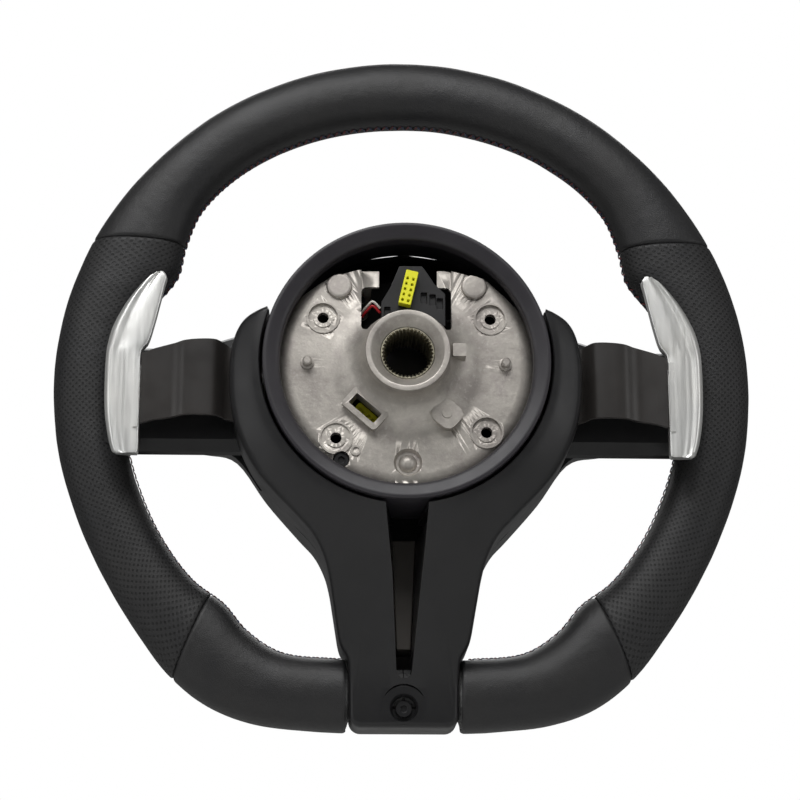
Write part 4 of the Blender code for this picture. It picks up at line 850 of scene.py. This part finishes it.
def hub_casting():
    """Plate, boss, arms and stand-offs, with the cast-on lugs and rings, then the openings."""
    hub = lathe("hub", hub_profile(), "cast", 144)
    fuse(hub, *[spoke_arm((s, 0, 0), (0, 0, ARM_Z), 0.0115) for s in (1, -1)],
         *[spoke_arm((0, 0, -1), (s * LEG_X, 0, 0), 0.0055, LEG_REACH) for s in (1, -1)])
    fuse(hub, *[stack(x, z, ((0.0260, 0.0055), (STANDOFF_END_Y, 0.0055))) for x, z in standoffs()])
    plate = PLATE_REAR_Y
    fuse(
        hub,
        prism(rounded_rectangle(0.0112, 0.0062, 0.0022, (-0.0209, -0.0249), -41), 0.0190, 0.0300),
        prism(rounded_rectangle(0.0072, 0.0066, 0.0045, (0.0204, -0.0275), -41), 0.0185, 0.0260),
        prism(rounded_rectangle(0.0034, 0.0034, 0.0006, (0.0265, 0.0036)), 0.0100, 0.0260),
        *[stack(x, z, ((plate - 0.0055, 0.0016), (plate - 0.0048, 0.0024), (plate - 0.0012, 0.0024),
                       (plate - 0.0009, 0.0034), (0.0260, 0.0038))) for x, z in LOCATING_PINS],
        *[stack(x, z, ((0.0212, 0.0050), (0.0218, 0.0062), (0.0262, 0.0075))) for x, z in KNOBS],
        ring_body(-0.0255, -0.0460, 0.0017, 0.0027, plate - 0.0006, 0.0250),
        stack(0.0204, -0.0275, ((0.0180, 0.0024), (0.0195, 0.0026))),
    )
    fuse(hub, *[ring_body(x, z, 0.0076, 0.0086, plate - 0.0005, 0.0250) for x, z, _ in SCREW_PADS])
    cut(hub, stack(0.0008, -0.0520, ((0.0200, 0.0076), (0.0245, 0.0071), (0.0258, 0.0060))),
        *[stack(x, z, ((0.0100, 0.0074), (plate + sink, 0.0074))) for x, z, sink in SCREW_PADS])
    fuse(hub, stack(0.0008, -0.0520, ((0.0228, 0.0008), (0.0231, 0.0021), (0.0240, 0.0036),
                                     (0.0254, 0.0046), (0.0270, 0.0050))),
         *[ring_body(x, z, 0.0026, 0.0050, plate + sink - 0.0004, plate + 0.0030)
           for x, z, sink in SCREW_PADS])
    screw_holes = [stack(x, z, ((0.0100, 0.0029), (0.0480, 0.0029))) for x, z, _ in SCREW_PADS]
    cut(
        hub,
        prism([*PLATE_TOP, (0.0800, 0.0800), (-0.0800, 0.0800)], 0.0160, 0.0340),
        prism(rounded_rectangle(0.0084, 0.0033, 0.0008, (-0.0209, -0.0249), -41), 0.0100, 0.0400),
        prism(rounded_rectangle(0.0100, 0.0045, 0.0040, (0.0, -0.0672)), 0.0100, 0.0400),
        stack(-0.0328, -0.0505, ((0.0100, 0.0042), (0.0400, 0.0042))),
        *screw_holes,
        *[stack(x, z, ((0.0360, 0.00255), (0.0600, 0.00255))) for x, z in standoffs()],
        *[stack(s * 0.0809, ARM_Z, ((0.0600, 0.0015), (0.0680, 0.0015))) for s in (1, -1)],
    )
    window = rounded_rectangle(0.0232, 0.0130, 0.0030, (0.0, 0.0290))
    bar = [(-0.0232, 0.0390), (0.0232, 0.0390), (0.0232, 0.0560), (-0.0232, 0.0560)]
    plug_way = [(-0.0140, 0.0380), (0.0160, 0.0380), (0.0160, 0.0600), (-0.0140, 0.0600)]
    for outline, front in ((window, 0.0480), (bar, 0.0258), (plug_way, 0.0480)):
        cut(hub, prism(outline, 0.0160, front))
    cut(hub, core_cutter())
    stands_for(bevelled(hub, 0.0003, 2, 42.0), "hub_casting")


def spline_bush():
    """The steel bush, its splines cut straight through below a chamfered mouth."""
    rings, outer = [], []
    for y, straight in ((0.0052, False), (0.0066, True), (0.0310, True)):
        ring, round_ring = [], []
        for n, a in enumerate(circle_angles(SPLINE_TEETH * 6)):
            share = (0.0, 0.0, 0.35, 1.0, 1.0, 0.35)[n % 6]
            r = SPLINE_ROOT + (SPLINE_TIP - SPLINE_ROOT) * share + (0.0 if straight else 0.0011)
            ring.append(Vector((r * math.sin(a), y, r * math.cos(a))))
            round_ring.append(Vector((BUSH_RADIUS * math.sin(a), y, BUSH_RADIUS * math.cos(a))))
        rings.append(ring)
        outer.append(round_ring)
    stands_for(sleeve("bush", outer, rings, "bush"), "spline_bush")


# ---------------------------------------------------------------- collar and cover


def rear_collar():
    """The ring round the hub's recess, with the skirt that reaches forward inside the cover."""
    profile = [(COLLAR_INNER, 0.0166), (COLLAR_INNER + 0.0002, 0.0157), (COLLAR_INNER + 0.0008, 0.0149),
               (0.0668, 0.0140), (0.0706, 0.0128), (0.0713, 0.01262), (0.0721, 0.0126), (0.0728, 0.0129),
               (COLLAR_OUTER, 0.0136), (COLLAR_OUTER, COLLAR_SKIRT_Y), (0.0712, COLLAR_SKIRT_Y),
               (0.0712, 0.0240), (0.0700, 0.0215), (0.0660, 0.0228), (COLLAR_INNER, 0.0226)]
    collar = lathe("collar", profile, "grey", 160, 30.0)
    stands_for(bevelled(collar, 0.0003, 2, 45.0), "rear_collar")


def foot_corner(steps=10):
    """The foot's lower right-hand corner."""
    radius = 0.0062
    x, z = FOOT_HALF - radius, FOOT_BOTTOM + radius
    angles = [math.radians(90 * n / steps) for n in range(steps + 1)]
    return [Vector((x + radius * math.cos(a), z - radius * math.sin(a))) for a in angles]


def mirror_outline(right):
    """Adds the left half to a right-hand outline that ends at the foot's corner."""
    middle = [Vector((x, FOOT_BOTTOM)) for x in (0.0135, 0.0, -0.0135)]
    return [*right, *middle, *[Vector((-p.x, p.y)) for p in reversed(right)]]


def inset_outline(line, distance, closed=False):
    """Moves a clockwise outline inward by a distance, with its corners mitred."""
    moved = []
    for i, p in enumerate(line):
        before = line[i - 1] if i or closed else p
        after = line[(i + 1) % len(line)] if i + 1 < len(line) or closed else p
        come, leave = (p - before).normalized(), (after - p).normalized()
        tangent = (come + leave).normalized()
        normal = Vector((tangent.y, -tangent.x))
        spread = max(0.6, tangent.dot(leave if leave.length else come))
        moved.append(p + normal * distance / spread)
    return moved


def flat_curve(points, per_span):
    """A smooth curve through (x, z) points."""
    return [Vector((p.x, p.y)) for p in smooth_line([(x, z, 0.0) for x, z in points], per_span)]


def cover_front_y(z):
    """Depth at which the cover's walls end: at the bezel, and at the bezel's foot on the rim."""
    share = min(1.0, max(0.0, (-z - 0.100) / 0.040))
    return COVER_FRONT_Y + (FOOT_FRONT_Y - COVER_FRONT_Y) * share


def cover_rings(steps):
    """Radial sections of the solid cover from shoulder to shoulder, round-edged."""
    line = mirror_outline([*flat_curve(COVER_HALF, steps)[:-1], *foot_corner(2 * steps + 2)])
    insets = (0.0, 0.00035, 0.0009, 0.0018, 0.0030)
    lifts = (0.0034, 0.0019, 0.0009, 0.0002, 0.0)
    clears = (0.0024, 0.0021, 0.0018, 0.0015, 0.0012)
    lines = [inset_outline(line, inset) for inset in insets]
    rings = []
    for k, outer in enumerate(line):
        ring = []
        for points, lift, clear in zip(lines, lifts, clears):
            radius = max(points[k].length, COVER_INNER + clear)
            way = points[k].normalized()
            ring.append(Vector((radius * way.x, table(COVER_REAR, radius) + lift, radius * way.y)))
        last, hub = radius, COVER_INNER + 0.0006
        for n in range(1, 7):
            radius = last + (hub - last) * n / 6
            ring.append(Vector((radius * way.x, table(COVER_REAR, radius), radius * way.y)))
        for y in (table(COVER_REAR, hub) + 0.0006, COVER_FRONT_Y):
            ring.append(Vector((COVER_INNER * way.x, y, COVER_INNER * way.y)))
        rings.append([Vector((ring[0].x, cover_front_y(outer.y), ring[0].z)), *ring])
    return rings


def cover_hollow():
    """The cover's hollow, which starts where the shoulders are wide enough."""
    inner = COVER_INNER + WALL
    line = mirror_outline([*[Vector(p) for p in COVER_HALF], *foot_corner(3)])
    rings = []
    for outer, point in zip(line, inset_outline(line, WALL)):
        radius = point.length
        if radius < inner + 0.0020:
            continue
        way, front = point.normalized(), cover_front_y(outer.y) + 0.010
        ring = [Vector((radius * way.x, front, radius * way.y))]
        for share in (n / 8 for n in range(9)):
            r = radius + (inner - radius) * share
            depth = table(COVER_REAR, r) + WALL + (0.0022 if share == 0.0 else 0.0)
            ring.append(Vector((r * way.x, depth, r * way.y)))
        ring.append(Vector((inner * way.x, COVER_FRONT_Y + 0.010, inner * way.y)))
        rings.append(ring)
    return skin("tool", rings, "black")


def slit_body(grow, front_y, top):
    """The tapering slit between the lower spoke's legs, its walls leaning in to the front."""
    rings = []
    for y, (upper, lower) in ((0.0, SLIT_REAR_HALF), (front_y, SLIT_FRONT_HALF)):
        upper, lower, bottom = upper + grow, lower + grow, SLIT_BOTTOM - grow
        rings.append([Vector((x, y, z)) for x, z in (
            (-upper, top), (upper, top), (lower, bottom + 0.004), (lower * 0.8, bottom + 0.0012),
            (lower * 0.4, bottom), (-lower * 0.4, bottom), (-lower * 0.8, bottom + 0.0012),
            (-lower, bottom + 0.004))])
    return skin("tool", rings, "black")


def foot_rim_cutter():
    """Clears the foot's side walls over the foam that passes through them."""
    rings = [rim_section(a if a <= 180 else a - 360, 0.0044) for a in rim_angles(150, 210, 5.0)]
    return skin("tool", rings, "black")


def crescent(x, z, radius, thick, span, y0, y1, steps=16):
    """A shallow arc-shaped groove, open side down, about a centre on the foot."""
    rings = []
    for n in range(steps + 1):
        a = math.radians(span * (2 * n / steps - 1))
        half = thick / 2 * math.sqrt(max(0.02, 1 - (2 * n / steps - 1) ** 2))
        rings.append([Vector((x + r * math.sin(a), y, z + r * math.cos(a)))
                      for r, y in ((radius - half, y0), (radius + half, y0), (radius + half, y1),
                                   (radius - half, y1))])
    return skin("tool", rings, "black")


def rear_cover():
    """Horseshoe-shaped shell with the lower spoke and the foot that crosses the rim."""
    cover = skin("cover", cover_rings(5), "black", smooth=30.0)
    hollow = cut(cover_hollow(), slit_body(0.0020, 0.0640, SLIT_TOP - 0.0100))
    cut(cover, hollow)
    cut(cover, slit_body(0.0, 0.0640, SLIT_TOP + 0.010),
        *[block((min(s * 0.0835, s * 0.0960), 0.0345, -0.0290),
                (max(s * 0.0835, s * 0.0960), 0.0500, 0.0175)) for s in (1, -1)])
    fuse(cover, stack(0.0, FOOT_SCREW_Z, ((0.0606, 0.0082), (0.0680, 0.0082))))
    cut(cover, stack(0.0, FOOT_SCREW_Z, ((0.0500, 0.0074), (0.0596, 0.0074), (0.0612, 0.0062),
                                        (0.0650, 0.0060)), segments=64))
    cut(cover, stack(0.0, FOOT_SCREW_Z, ((0.0500, 0.0024), (0.0700, 0.0024))),
        crescent(0.0, FOOT_SCREW_Z + 0.0005, 0.0112, 0.0009, 62, 0.0500, 0.0608))
    cut(cover, foot_rim_cutter())
    stands_for(bevelled(cover, 0.0004, 2, 40.0), "rear_cover")


# ---------------------------------------------------------------- bezel


def bezel_front_y(point):
    """The bezel's face is nearly flat. It stands prouder at the foot, over the rim."""
    foot = min(1.0, max(0.0, (-point.y - 0.100) / 0.050))
    outward = min(1.0, max(0.0, (abs(point.x) - 0.085) / 0.060))
    return BEZEL_FRONT_Y + 0.0016 * foot - 0.0035 * outward


def bezel_rear_y(point):
    """The bezel meets the rear cover, the spoke backs at the wings, and the rear foot."""
    foot = min(1.0, max(0.0, (-point.y - 0.100) / 0.040))
    wing = 1.0 if abs(point.x) > 0.0730 and -0.055 < point.y < 0.034 else 0.0
    return BEZEL_REAR_Y + (WING_SPLIT_Y + GAP - BEZEL_REAR_Y) * max(foot, wing)


def bezel_outline(steps):
    """The bezel's outline, clockwise from 12 o'clock: smooth runs between the wings' corners."""
    runs = (BEZEL_HALF[:9], BEZEL_HALF[8:10], BEZEL_HALF[9:])
    right = []
    for run in runs:
        right += flat_curve(run, steps)[:-1]
    right.append(Vector(BEZEL_HALF[-1]))
    right[0] = Vector((0.0, BEZEL_HALF[0][1]))
    return mirror_outline([*right, *foot_corner(8)])[:-1]


def bezel_rings(wall, steps):
    """Radial sections of the bezel, solid at wall 0, or of its hollow, which opens to the rear."""
    outline = bezel_outline(steps)
    line = inset_outline(outline, wall, closed=True)
    edges = [inset_outline(outline, d, closed=True) for d in (0.0004, 0.0012, 0.0028)]
    shoulder = inset_outline(outline, wall + 0.0014, closed=True)
    inner = BEZEL_OPENING + wall
    rings = []
    for k, key in enumerate(outline):
        face = bezel_front_y(key) - wall
        flat = shoulder[k] if wall else edges[2][k]
        toward = flat.normalized()
        hub = toward * inner
        if wall:
            ring = [(line[k], 0.0400), (line[k], face - 0.0014), (flat, face), (hub, face),
                    (hub, 0.0400)]
        else:
            ring = [(line[k], bezel_rear_y(key)), (line[k], face - 0.0034), (edges[0][k], face - 0.0019),
                    (edges[1][k], face - 0.0007), (flat, face), (toward * (inner + 0.0010), face),
                    (toward * (inner + 0.0003), face - 0.0004), (hub, face - 0.0012), (hub, 0.0740)]
        rings.append([Vector((p.x, y, p.y)) for p, y in ring])
    return rings


def front_bezel():
    """Front trim: a shell round the horn pad, with two wings and the lower spoke."""
    bezel = skin("bezel", bezel_rings(0.0, 5), "black", closed=True, smooth=30.0)
    holes = [rounded_rectangle(PANEL_HALF[0] + GAP, PANEL_HALF[1] + GAP, 0.0050,
                               (s * PANEL_CENTRE[0], PANEL_CENTRE[1])) for s in (1, -1)]
    cut(bezel, *[prism(hole, 0.0800, 0.1000, "black") for hole in holes])
    cut(bezel, skin("tool", bezel_rings(WALL, 2), "black", closed=True))
    envelope = [rim_section(a, -0.0010, 24) for a in rim_angles(-150, 150, 4.0)]
    cut(bezel, skin("tool", envelope, "black"))
    cut(bezel, foot_rim_cutter())
    strip = [(-0.0105, -0.0800), (0.0105, -0.0800), (0.0065, -0.1515), (-0.0065, -0.1515)]
    cut(bezel, prism(strip, 0.0700, 0.1000, "black"))
    stands_for(bevelled(bezel, 0.0004, 2, 40.0), "front_bezel")


# ---------------------------------------------------------------- paddles


def paddle_arm():
    """The arm's plate: a crisp fold beside the cover, a broad bead, a valley and a flat outer facet."""
    start, end = ARM_STATIONS[0][0], ARM_STATIONS[-1][0]
    rings = []
    steps = 54
    for n in range(steps + 1):
        x = start + (end - start) * n / steps
        y, top, bottom = (table(ARM_STATIONS, x, column) for column in (1, 2, 3))
        front = y + ARM_THICKNESS
        rings.append([Vector((x, y, bottom)), Vector((x, y, bottom * 0.5 + top * 0.5)),
                      Vector((x, y, top)), Vector((x, front, top)), Vector((x, front, bottom))])
    arm = skin("arm", rings, "arm", smooth=30.0)
    for low, high in ((-0.0262, -0.0160), (-0.0030, 0.0100)):
        fuse(arm, rod((PIVOT_X, PIVOT_Y, low), (PIVOT_X, PIVOT_Y, high), KNUCKLE_RADIUS, "arm"))
    cut(arm, block((0.0700, 0.0380, -0.0160), (0.0850, 0.0530, -0.0030)))
    cut(arm, rod((PIVOT_X, PIVOT_Y, -0.0500), (PIVOT_X, PIVOT_Y, 0.0300), PIN_RADIUS + 0.00025, "arm"))
    both_sides(arm, "paddle_arm", 0.0005, 3)


def paddle_blade():
    """The silver blade: a broad dished face, a raised ridge, a thin outer bevel and a rounded top."""
    first, last = BLADE_STATIONS[0][0], BLADE_STATIONS[-1][0]
    profile = ((0.0, 0.0006), (0.03, 0.0002), (0.08, 0.0), (0.20, -0.0002), (0.40, -0.0003),
               (0.54, 0.0003), (0.64, 0.0009), (0.72, 0.0008), (0.80, 0.0003), (0.86, 0.0004),
               (0.91, 0.0009), (0.95, 0.0016))
    rings = []
    steps = 80
    for n in range(steps + 1):
        z = first + (last - first) * (0.5 - 0.5 * math.cos(math.pi * n / steps))
        inner, outer = table(BLADE_STATIONS, z, 1), table(BLADE_STATIONS, z, 2)
        width = outer - inner
        ring = [Vector((inner + width * share, BLADE_REAR_Y + drop, z)) for share, drop in profile]
        back = BLADE_REAR_Y + BLADE_THICKNESS + 0.0026
        ring += [Vector((outer, BLADE_REAR_Y + 0.0028, z)), Vector((outer, BLADE_REAR_Y + 0.0036, z)),
                 Vector((outer - 0.0006, BLADE_REAR_Y + 0.0044, z)),
                 Vector((inner + width * 0.5, back, z)), Vector((inner, back, z))]
        rings.append(ring)
    blade = skin("blade", rings, "silver", smooth=30.0)
    fuse(blade, block((0.1369, 0.0374, -0.0305), (0.1394, 0.0400, 0.0066)))
    fuse(blade, block((0.1275, 0.0430, -0.0235), (0.1400, 0.0448, 0.0040)))
    both_sides(blade, "paddle_blade", 0.0005, 3, 35.0)


def coil(node, centre, axis, radius, wire, length, turns):
    """A spring of round wire with closed ends."""
    centre, axis = Vector(centre), Vector(axis).normalized()
    side = axis.orthogonal().normalized()
    other = axis.cross(side)
    rings = []
    steps = turns * 28
    for n in range(steps + 1):
        a = 2 * math.pi * n / 28
        out = math.cos(a) * side + math.sin(a) * other
        middle = centre + radius * out + axis * (wire + (length - 2 * wire) * n / steps)
        rings.append([middle + wire * (math.cos(b) * out + math.sin(b) * axis)
                      for b in circle_angles(10)])
    stands_for(skin("spring", rings, "steel", smooth=60.0), node)


def springs():
    """Three horn springs on the stand-offs, and one return spring round each paddle's pin."""
    for (x, z), place in zip(standoffs(), ("right", "lower_left", "upper_left")):
        coil(f"horn_spring_{place}", (x, STANDOFF_END_Y + GAP, z), (0, 1, 0), 0.0038, 0.0005,
             PAD_BACK_Y - STANDOFF_END_Y - 2 * GAP, 4)
    for side, word in ((1, "right"), (-1, "left")):
        coil(f"{word}_paddle_spring", (side * PIVOT_X, PIVOT_Y, -0.0156), (0, 0, 1), 0.0025, 0.0004,
             0.0122, 4)


# ---------------------------------------------------------------- pad, plugs and wires


def horn_pad():
    """The pad's skin: a crowned leather face with a stitched ring seam, over its moulded skirt."""
    profile = [(0.0, PAD_CROWN_Y)]
    crown = ((0.0, 0.1040), (0.0200, 0.1033), (0.0400, 0.1003), (0.0540, 0.0955), (0.0595, 0.0920),
             (PAD_RADIUS, PAD_EDGE_Y - 0.0020))
    for n in range(1, 41):
        r = PAD_RADIUS * math.sin(math.pi / 2 * n / 40)
        sink = 0.0006 * math.exp(-(((r - 0.0500) / 0.0007) ** 2))
        profile.append((r, table(crown, r) - sink))
    profile += [(PAD_RADIUS, 0.0702), (PAD_RADIUS - 0.0002, 0.0700), (PAD_RADIUS - WALL, 0.0700),
                (PAD_RADIUS - WALL, 0.0880), (0.0520, 0.0925), (0.0390, 0.0973), (0.0195, 0.1002),
                (0.0, 0.1010)]
    pad = stands_for(pad_lathe("pad", profile, "leather"), "pad_cover")
    # The inflator can takes the black plastic finish so that the bore in front of it shows dark: painted
    # shade.
    refined("inflator_can", "black", 0.0006)
    refined("pad_back_plate", "black", 0.0003)


def plugs():
    """Plug housing with its ribs, the yellow insert with two rows of contact holes, and pad plug."""
    outline = [(-0.0128, 0.0200), (0.0200, 0.0200), (0.0200, 0.0375), (0.0146, 0.0427),
               (0.0100, 0.0500), (0.0080, 0.0524), (-0.0036, 0.0524), (-0.0085, 0.0402),
               (-0.0128, 0.0330)]
    housing = prism(outline, 0.0220, 0.0400, "black")
    pockets = ((-0.0098, 0.0270), (0.0090, 0.0350), (0.0135, 0.0340), (0.0172, 0.0320))
    cut(housing, *[prism(rounded_rectangle(0.0016, 0.0030, 0.0004, pocket), 0.0200, 0.0240, "black")
                   for pocket in pockets])
    stands_for(bevelled(housing, 0.0006, 3), "plug_housing")
    insert = prism(rounded_rectangle(0.0032, 0.0092, 0.0005, (0.0009, 0.0390), -13), 0.0165,
                   0.0220 - GAP, "yellow")
    turn = math.radians(-13)
    holes = []
    for across in (-0.0015, 0.0015):
        for n in range(5):
            along = -0.0072 + 0.0030 * n
            x = 0.0009 + across * math.cos(turn) - along * math.sin(turn)
            z = 0.0390 + across * math.sin(turn) + along * math.cos(turn)
            holes.append(rounded_rectangle(0.00062, 0.00075, 0.0002, (x, z), -13, 2))
    cut(insert, *[prism(hole, 0.0150, 0.0195, "yellow") for hole in holes])
    stands_for(bevelled(insert, 0.0003), "plug_insert")
    pad_plug = prism(rounded_rectangle(0.0070, 0.0040, 0.0008, (-0.0209, -0.0249), -41), 0.0345,
                     0.0404, "yellow")
    turn = math.radians(-41)
    cut(pad_plug, *[prism(rounded_rectangle(0.0008, 0.0020, 0.0002, (
        -0.0209 + along * math.cos(turn), -0.0249 + along * math.sin(turn)), -41, 2), 0.0330, 0.0370,
        "yellow") for along in (-0.0042, -0.0014, 0.0014, 0.0042)])
    stands_for(bevelled(pad_plug, 0.0004), "pad_plug")


def wires():
    """Two wires to the left-hand wing and a loom to the right-hand one, held all the way."""
    for name, look, lift, side in (("wire_red", "red", 0.0, -1), ("wire_white", "white", 0.0024, -1),
                                   ("wire_loom", "black", 0.0, 1)):
        if side > 0:
            start = [(0.0208, 0.0310, 0.0250), (0.0240, 0.0330, 0.0262)]
        else:
            start = [(-0.0134, 0.0285, 0.0290), (-0.0172, 0.0272, 0.0322), (-0.0205, 0.0300, 0.0300),
                     (-0.0245, 0.0345, 0.0275)]
        route = [*start, (side * 0.0330, 0.0400, 0.0320), (side * 0.0480, 0.0500, 0.0350),
                 (side * 0.0620, 0.0590, 0.0240), (side * 0.0664, 0.0700, 0.0110),
                 (side * 0.0720, 0.0780, 0.0030), (side * 0.0810, 0.0800, -0.0020),
                 (side * 0.0880, 0.0799, -0.0030)]
        line = smooth_line([(x, y, z + lift) for x, y, z in route], 8)
        curve = bpy.data.curves.new(name, "CURVE")
        curve.dimensions = "3D"
        curve.bevel_depth = (0.0024 if side > 0 else 0.0013) / 2
        curve.bevel_resolution = 5
        curve.use_fill_caps = True
        spline = curve.splines.new("POLY")
        spline.points.add(len(line) - 1)
        for point, place in zip(spline.points, line):
            point.co = (*place, 1.0)
        curve.materials.append(LOOKS[look])
        obj = bpy.data.objects.new(name, curve)
        bpy.context.scene.collection.objects.link(obj)
        stands_for(obj, name)


def small_parts():
    """Frame nodes that need no more than their own shape with rounded edges."""
    each_side = (
        ("spoke_back", "black", 0.0014, 3, 20.0),
        ("button_panel", "grey", 0.0005),
        ("circuit_board", "board", 0.0001),
        ("roller", "grey", 0.0002),
        ("paddle_bracket", "steel", 0.0003),
        ("paddle_switch", "black", 0.0004),
        ("paddle_pin", "steel", 0.0003),
        ("bracket_screw", "steel", 0.0002),
        *[(f"button_{height}_{across}", "black", 0.0004)
          for height in ("upper", "lower") for across in ("inner", "outer")],
    )
    for side in ("left", "right"):
        for node, *finish in each_side:
            refined(f"{side}_{node}", *finish)
    refined("foot_screw", "black", 0.0003)
    refined("clip_screw", "black", 0.0003)
    refined("lower_spoke_trim", "strip", 0.0006, 3)


# ---------------------------------------------------------------- stage


def stage():
    """Pale floor and backdrop, soft boxes, and the camera on the column side, a little below."""
    pale = Finish("pale_paper", (0.80, 0.80, 0.79), 0.85)
    pale.drive("Base Color", pale.blend(pale.noise(6.0), (0.78, 0.78, 0.77), (0.82, 0.82, 0.81)))
    bm = bmesh.new()
    bmesh.ops.create_grid(bm, x_segments=8, y_segments=8, size=4.0)
    mesh = bpy.data.meshes.new("floor")
    bm.to_mesh(mesh)
    mesh.materials.append(pale.material)
    floor = bpy.data.objects.new("floor", mesh)
    floor.location = (0.0, 0.0, -0.62)
    bpy.context.scene.collection.objects.link(floor)

    glow = bpy.data.materials.new("white_backdrop")
    glow.use_nodes = True
    shader = glow.node_tree.nodes["Principled BSDF"]
    shader.inputs["Base Color"].default_value = (0.0, 0.0, 0.0, 1.0)
    shader.inputs["Specular IOR Level"].default_value = 0.0
    shader.inputs["Emission Color"].default_value = (1.0, 1.0, 1.0, 1.0)
    shader.inputs["Emission Strength"].default_value = 1.0
    back = bpy.data.objects.new("backdrop", mesh.copy())
    back.data.materials[0] = glow
    back.rotation_euler = (math.radians(90), 0.0, 0.0)
    back.location = (0.0, 2.4, 0.6)
    bpy.context.scene.collection.objects.link(back)
    back.visible_diffuse = back.visible_glossy = back.visible_shadow = False

    for name, place, size, power in (
        ("key", (-0.25, -1.15, 1.25), (1.5, 0.9), 26.0),
        ("fill_left", (-1.5, -0.9, 0.1), (0.7, 1.2), 4.0),
        ("fill_right", (1.5, -0.9, 0.2), (0.7, 1.2), 4.0),
        ("front", (0.0, 1.5, 1.2), (1.6, 1.0), 10.0),
    ):
        lamp = bpy.data.lights.new(name, "AREA")
        lamp.shape = "RECTANGLE"
        lamp.size, lamp.size_y = size
        lamp.energy = power
        obj = bpy.data.objects.new(name, lamp)
        obj.location = place
        obj.rotation_euler = (-Vector(place)).to_track_quat("-Z", "Y").to_euler()
        bpy.context.scene.collection.objects.link(obj)

    world = bpy.data.worlds.new("studio")
    world.use_nodes = True
    world.node_tree.nodes["Background"].inputs["Color"].default_value = (0.9, 0.9, 0.9, 1.0)
    world.node_tree.nodes["Background"].inputs["Strength"].default_value = 0.16
    bpy.context.scene.world = world
    bpy.context.scene.view_settings.view_transform = "Standard"
    bpy.context.scene.view_settings.look = "None"

    elevation, azimuth, distance = math.radians(-16.0), math.radians(-2.0), 1.1
    back_way = Vector((math.sin(azimuth) * math.cos(elevation), -math.cos(azimuth) * math.cos(elevation),
                       math.sin(elevation)))
    target = Vector((0.0, RIM_Y, -0.0105))
    camera = bpy.data.cameras.new("camera")
    camera.lens, camera.sensor_width = 92.9, 36.0
    camera.clip_start, camera.clip_end = 0.05, 20.0
    obj = bpy.data.objects.new("camera", camera)
    obj.location = target + back_way * distance
    aim = Vector((-0.0015, RIM_Y, -0.0042))
    obj.rotation_euler = (aim - obj.location).to_track_quat("-Z", "Y").to_euler()
    bpy.context.scene.collection.objects.link(obj)
    bpy.context.scene.camera = obj


rim()
hub_casting()
spline_bush()
rear_collar()
rear_cover()
front_bezel()
paddle_arm()
paddle_blade()
springs()
horn_pad()
plugs()
wires()
small_parts()
stage()
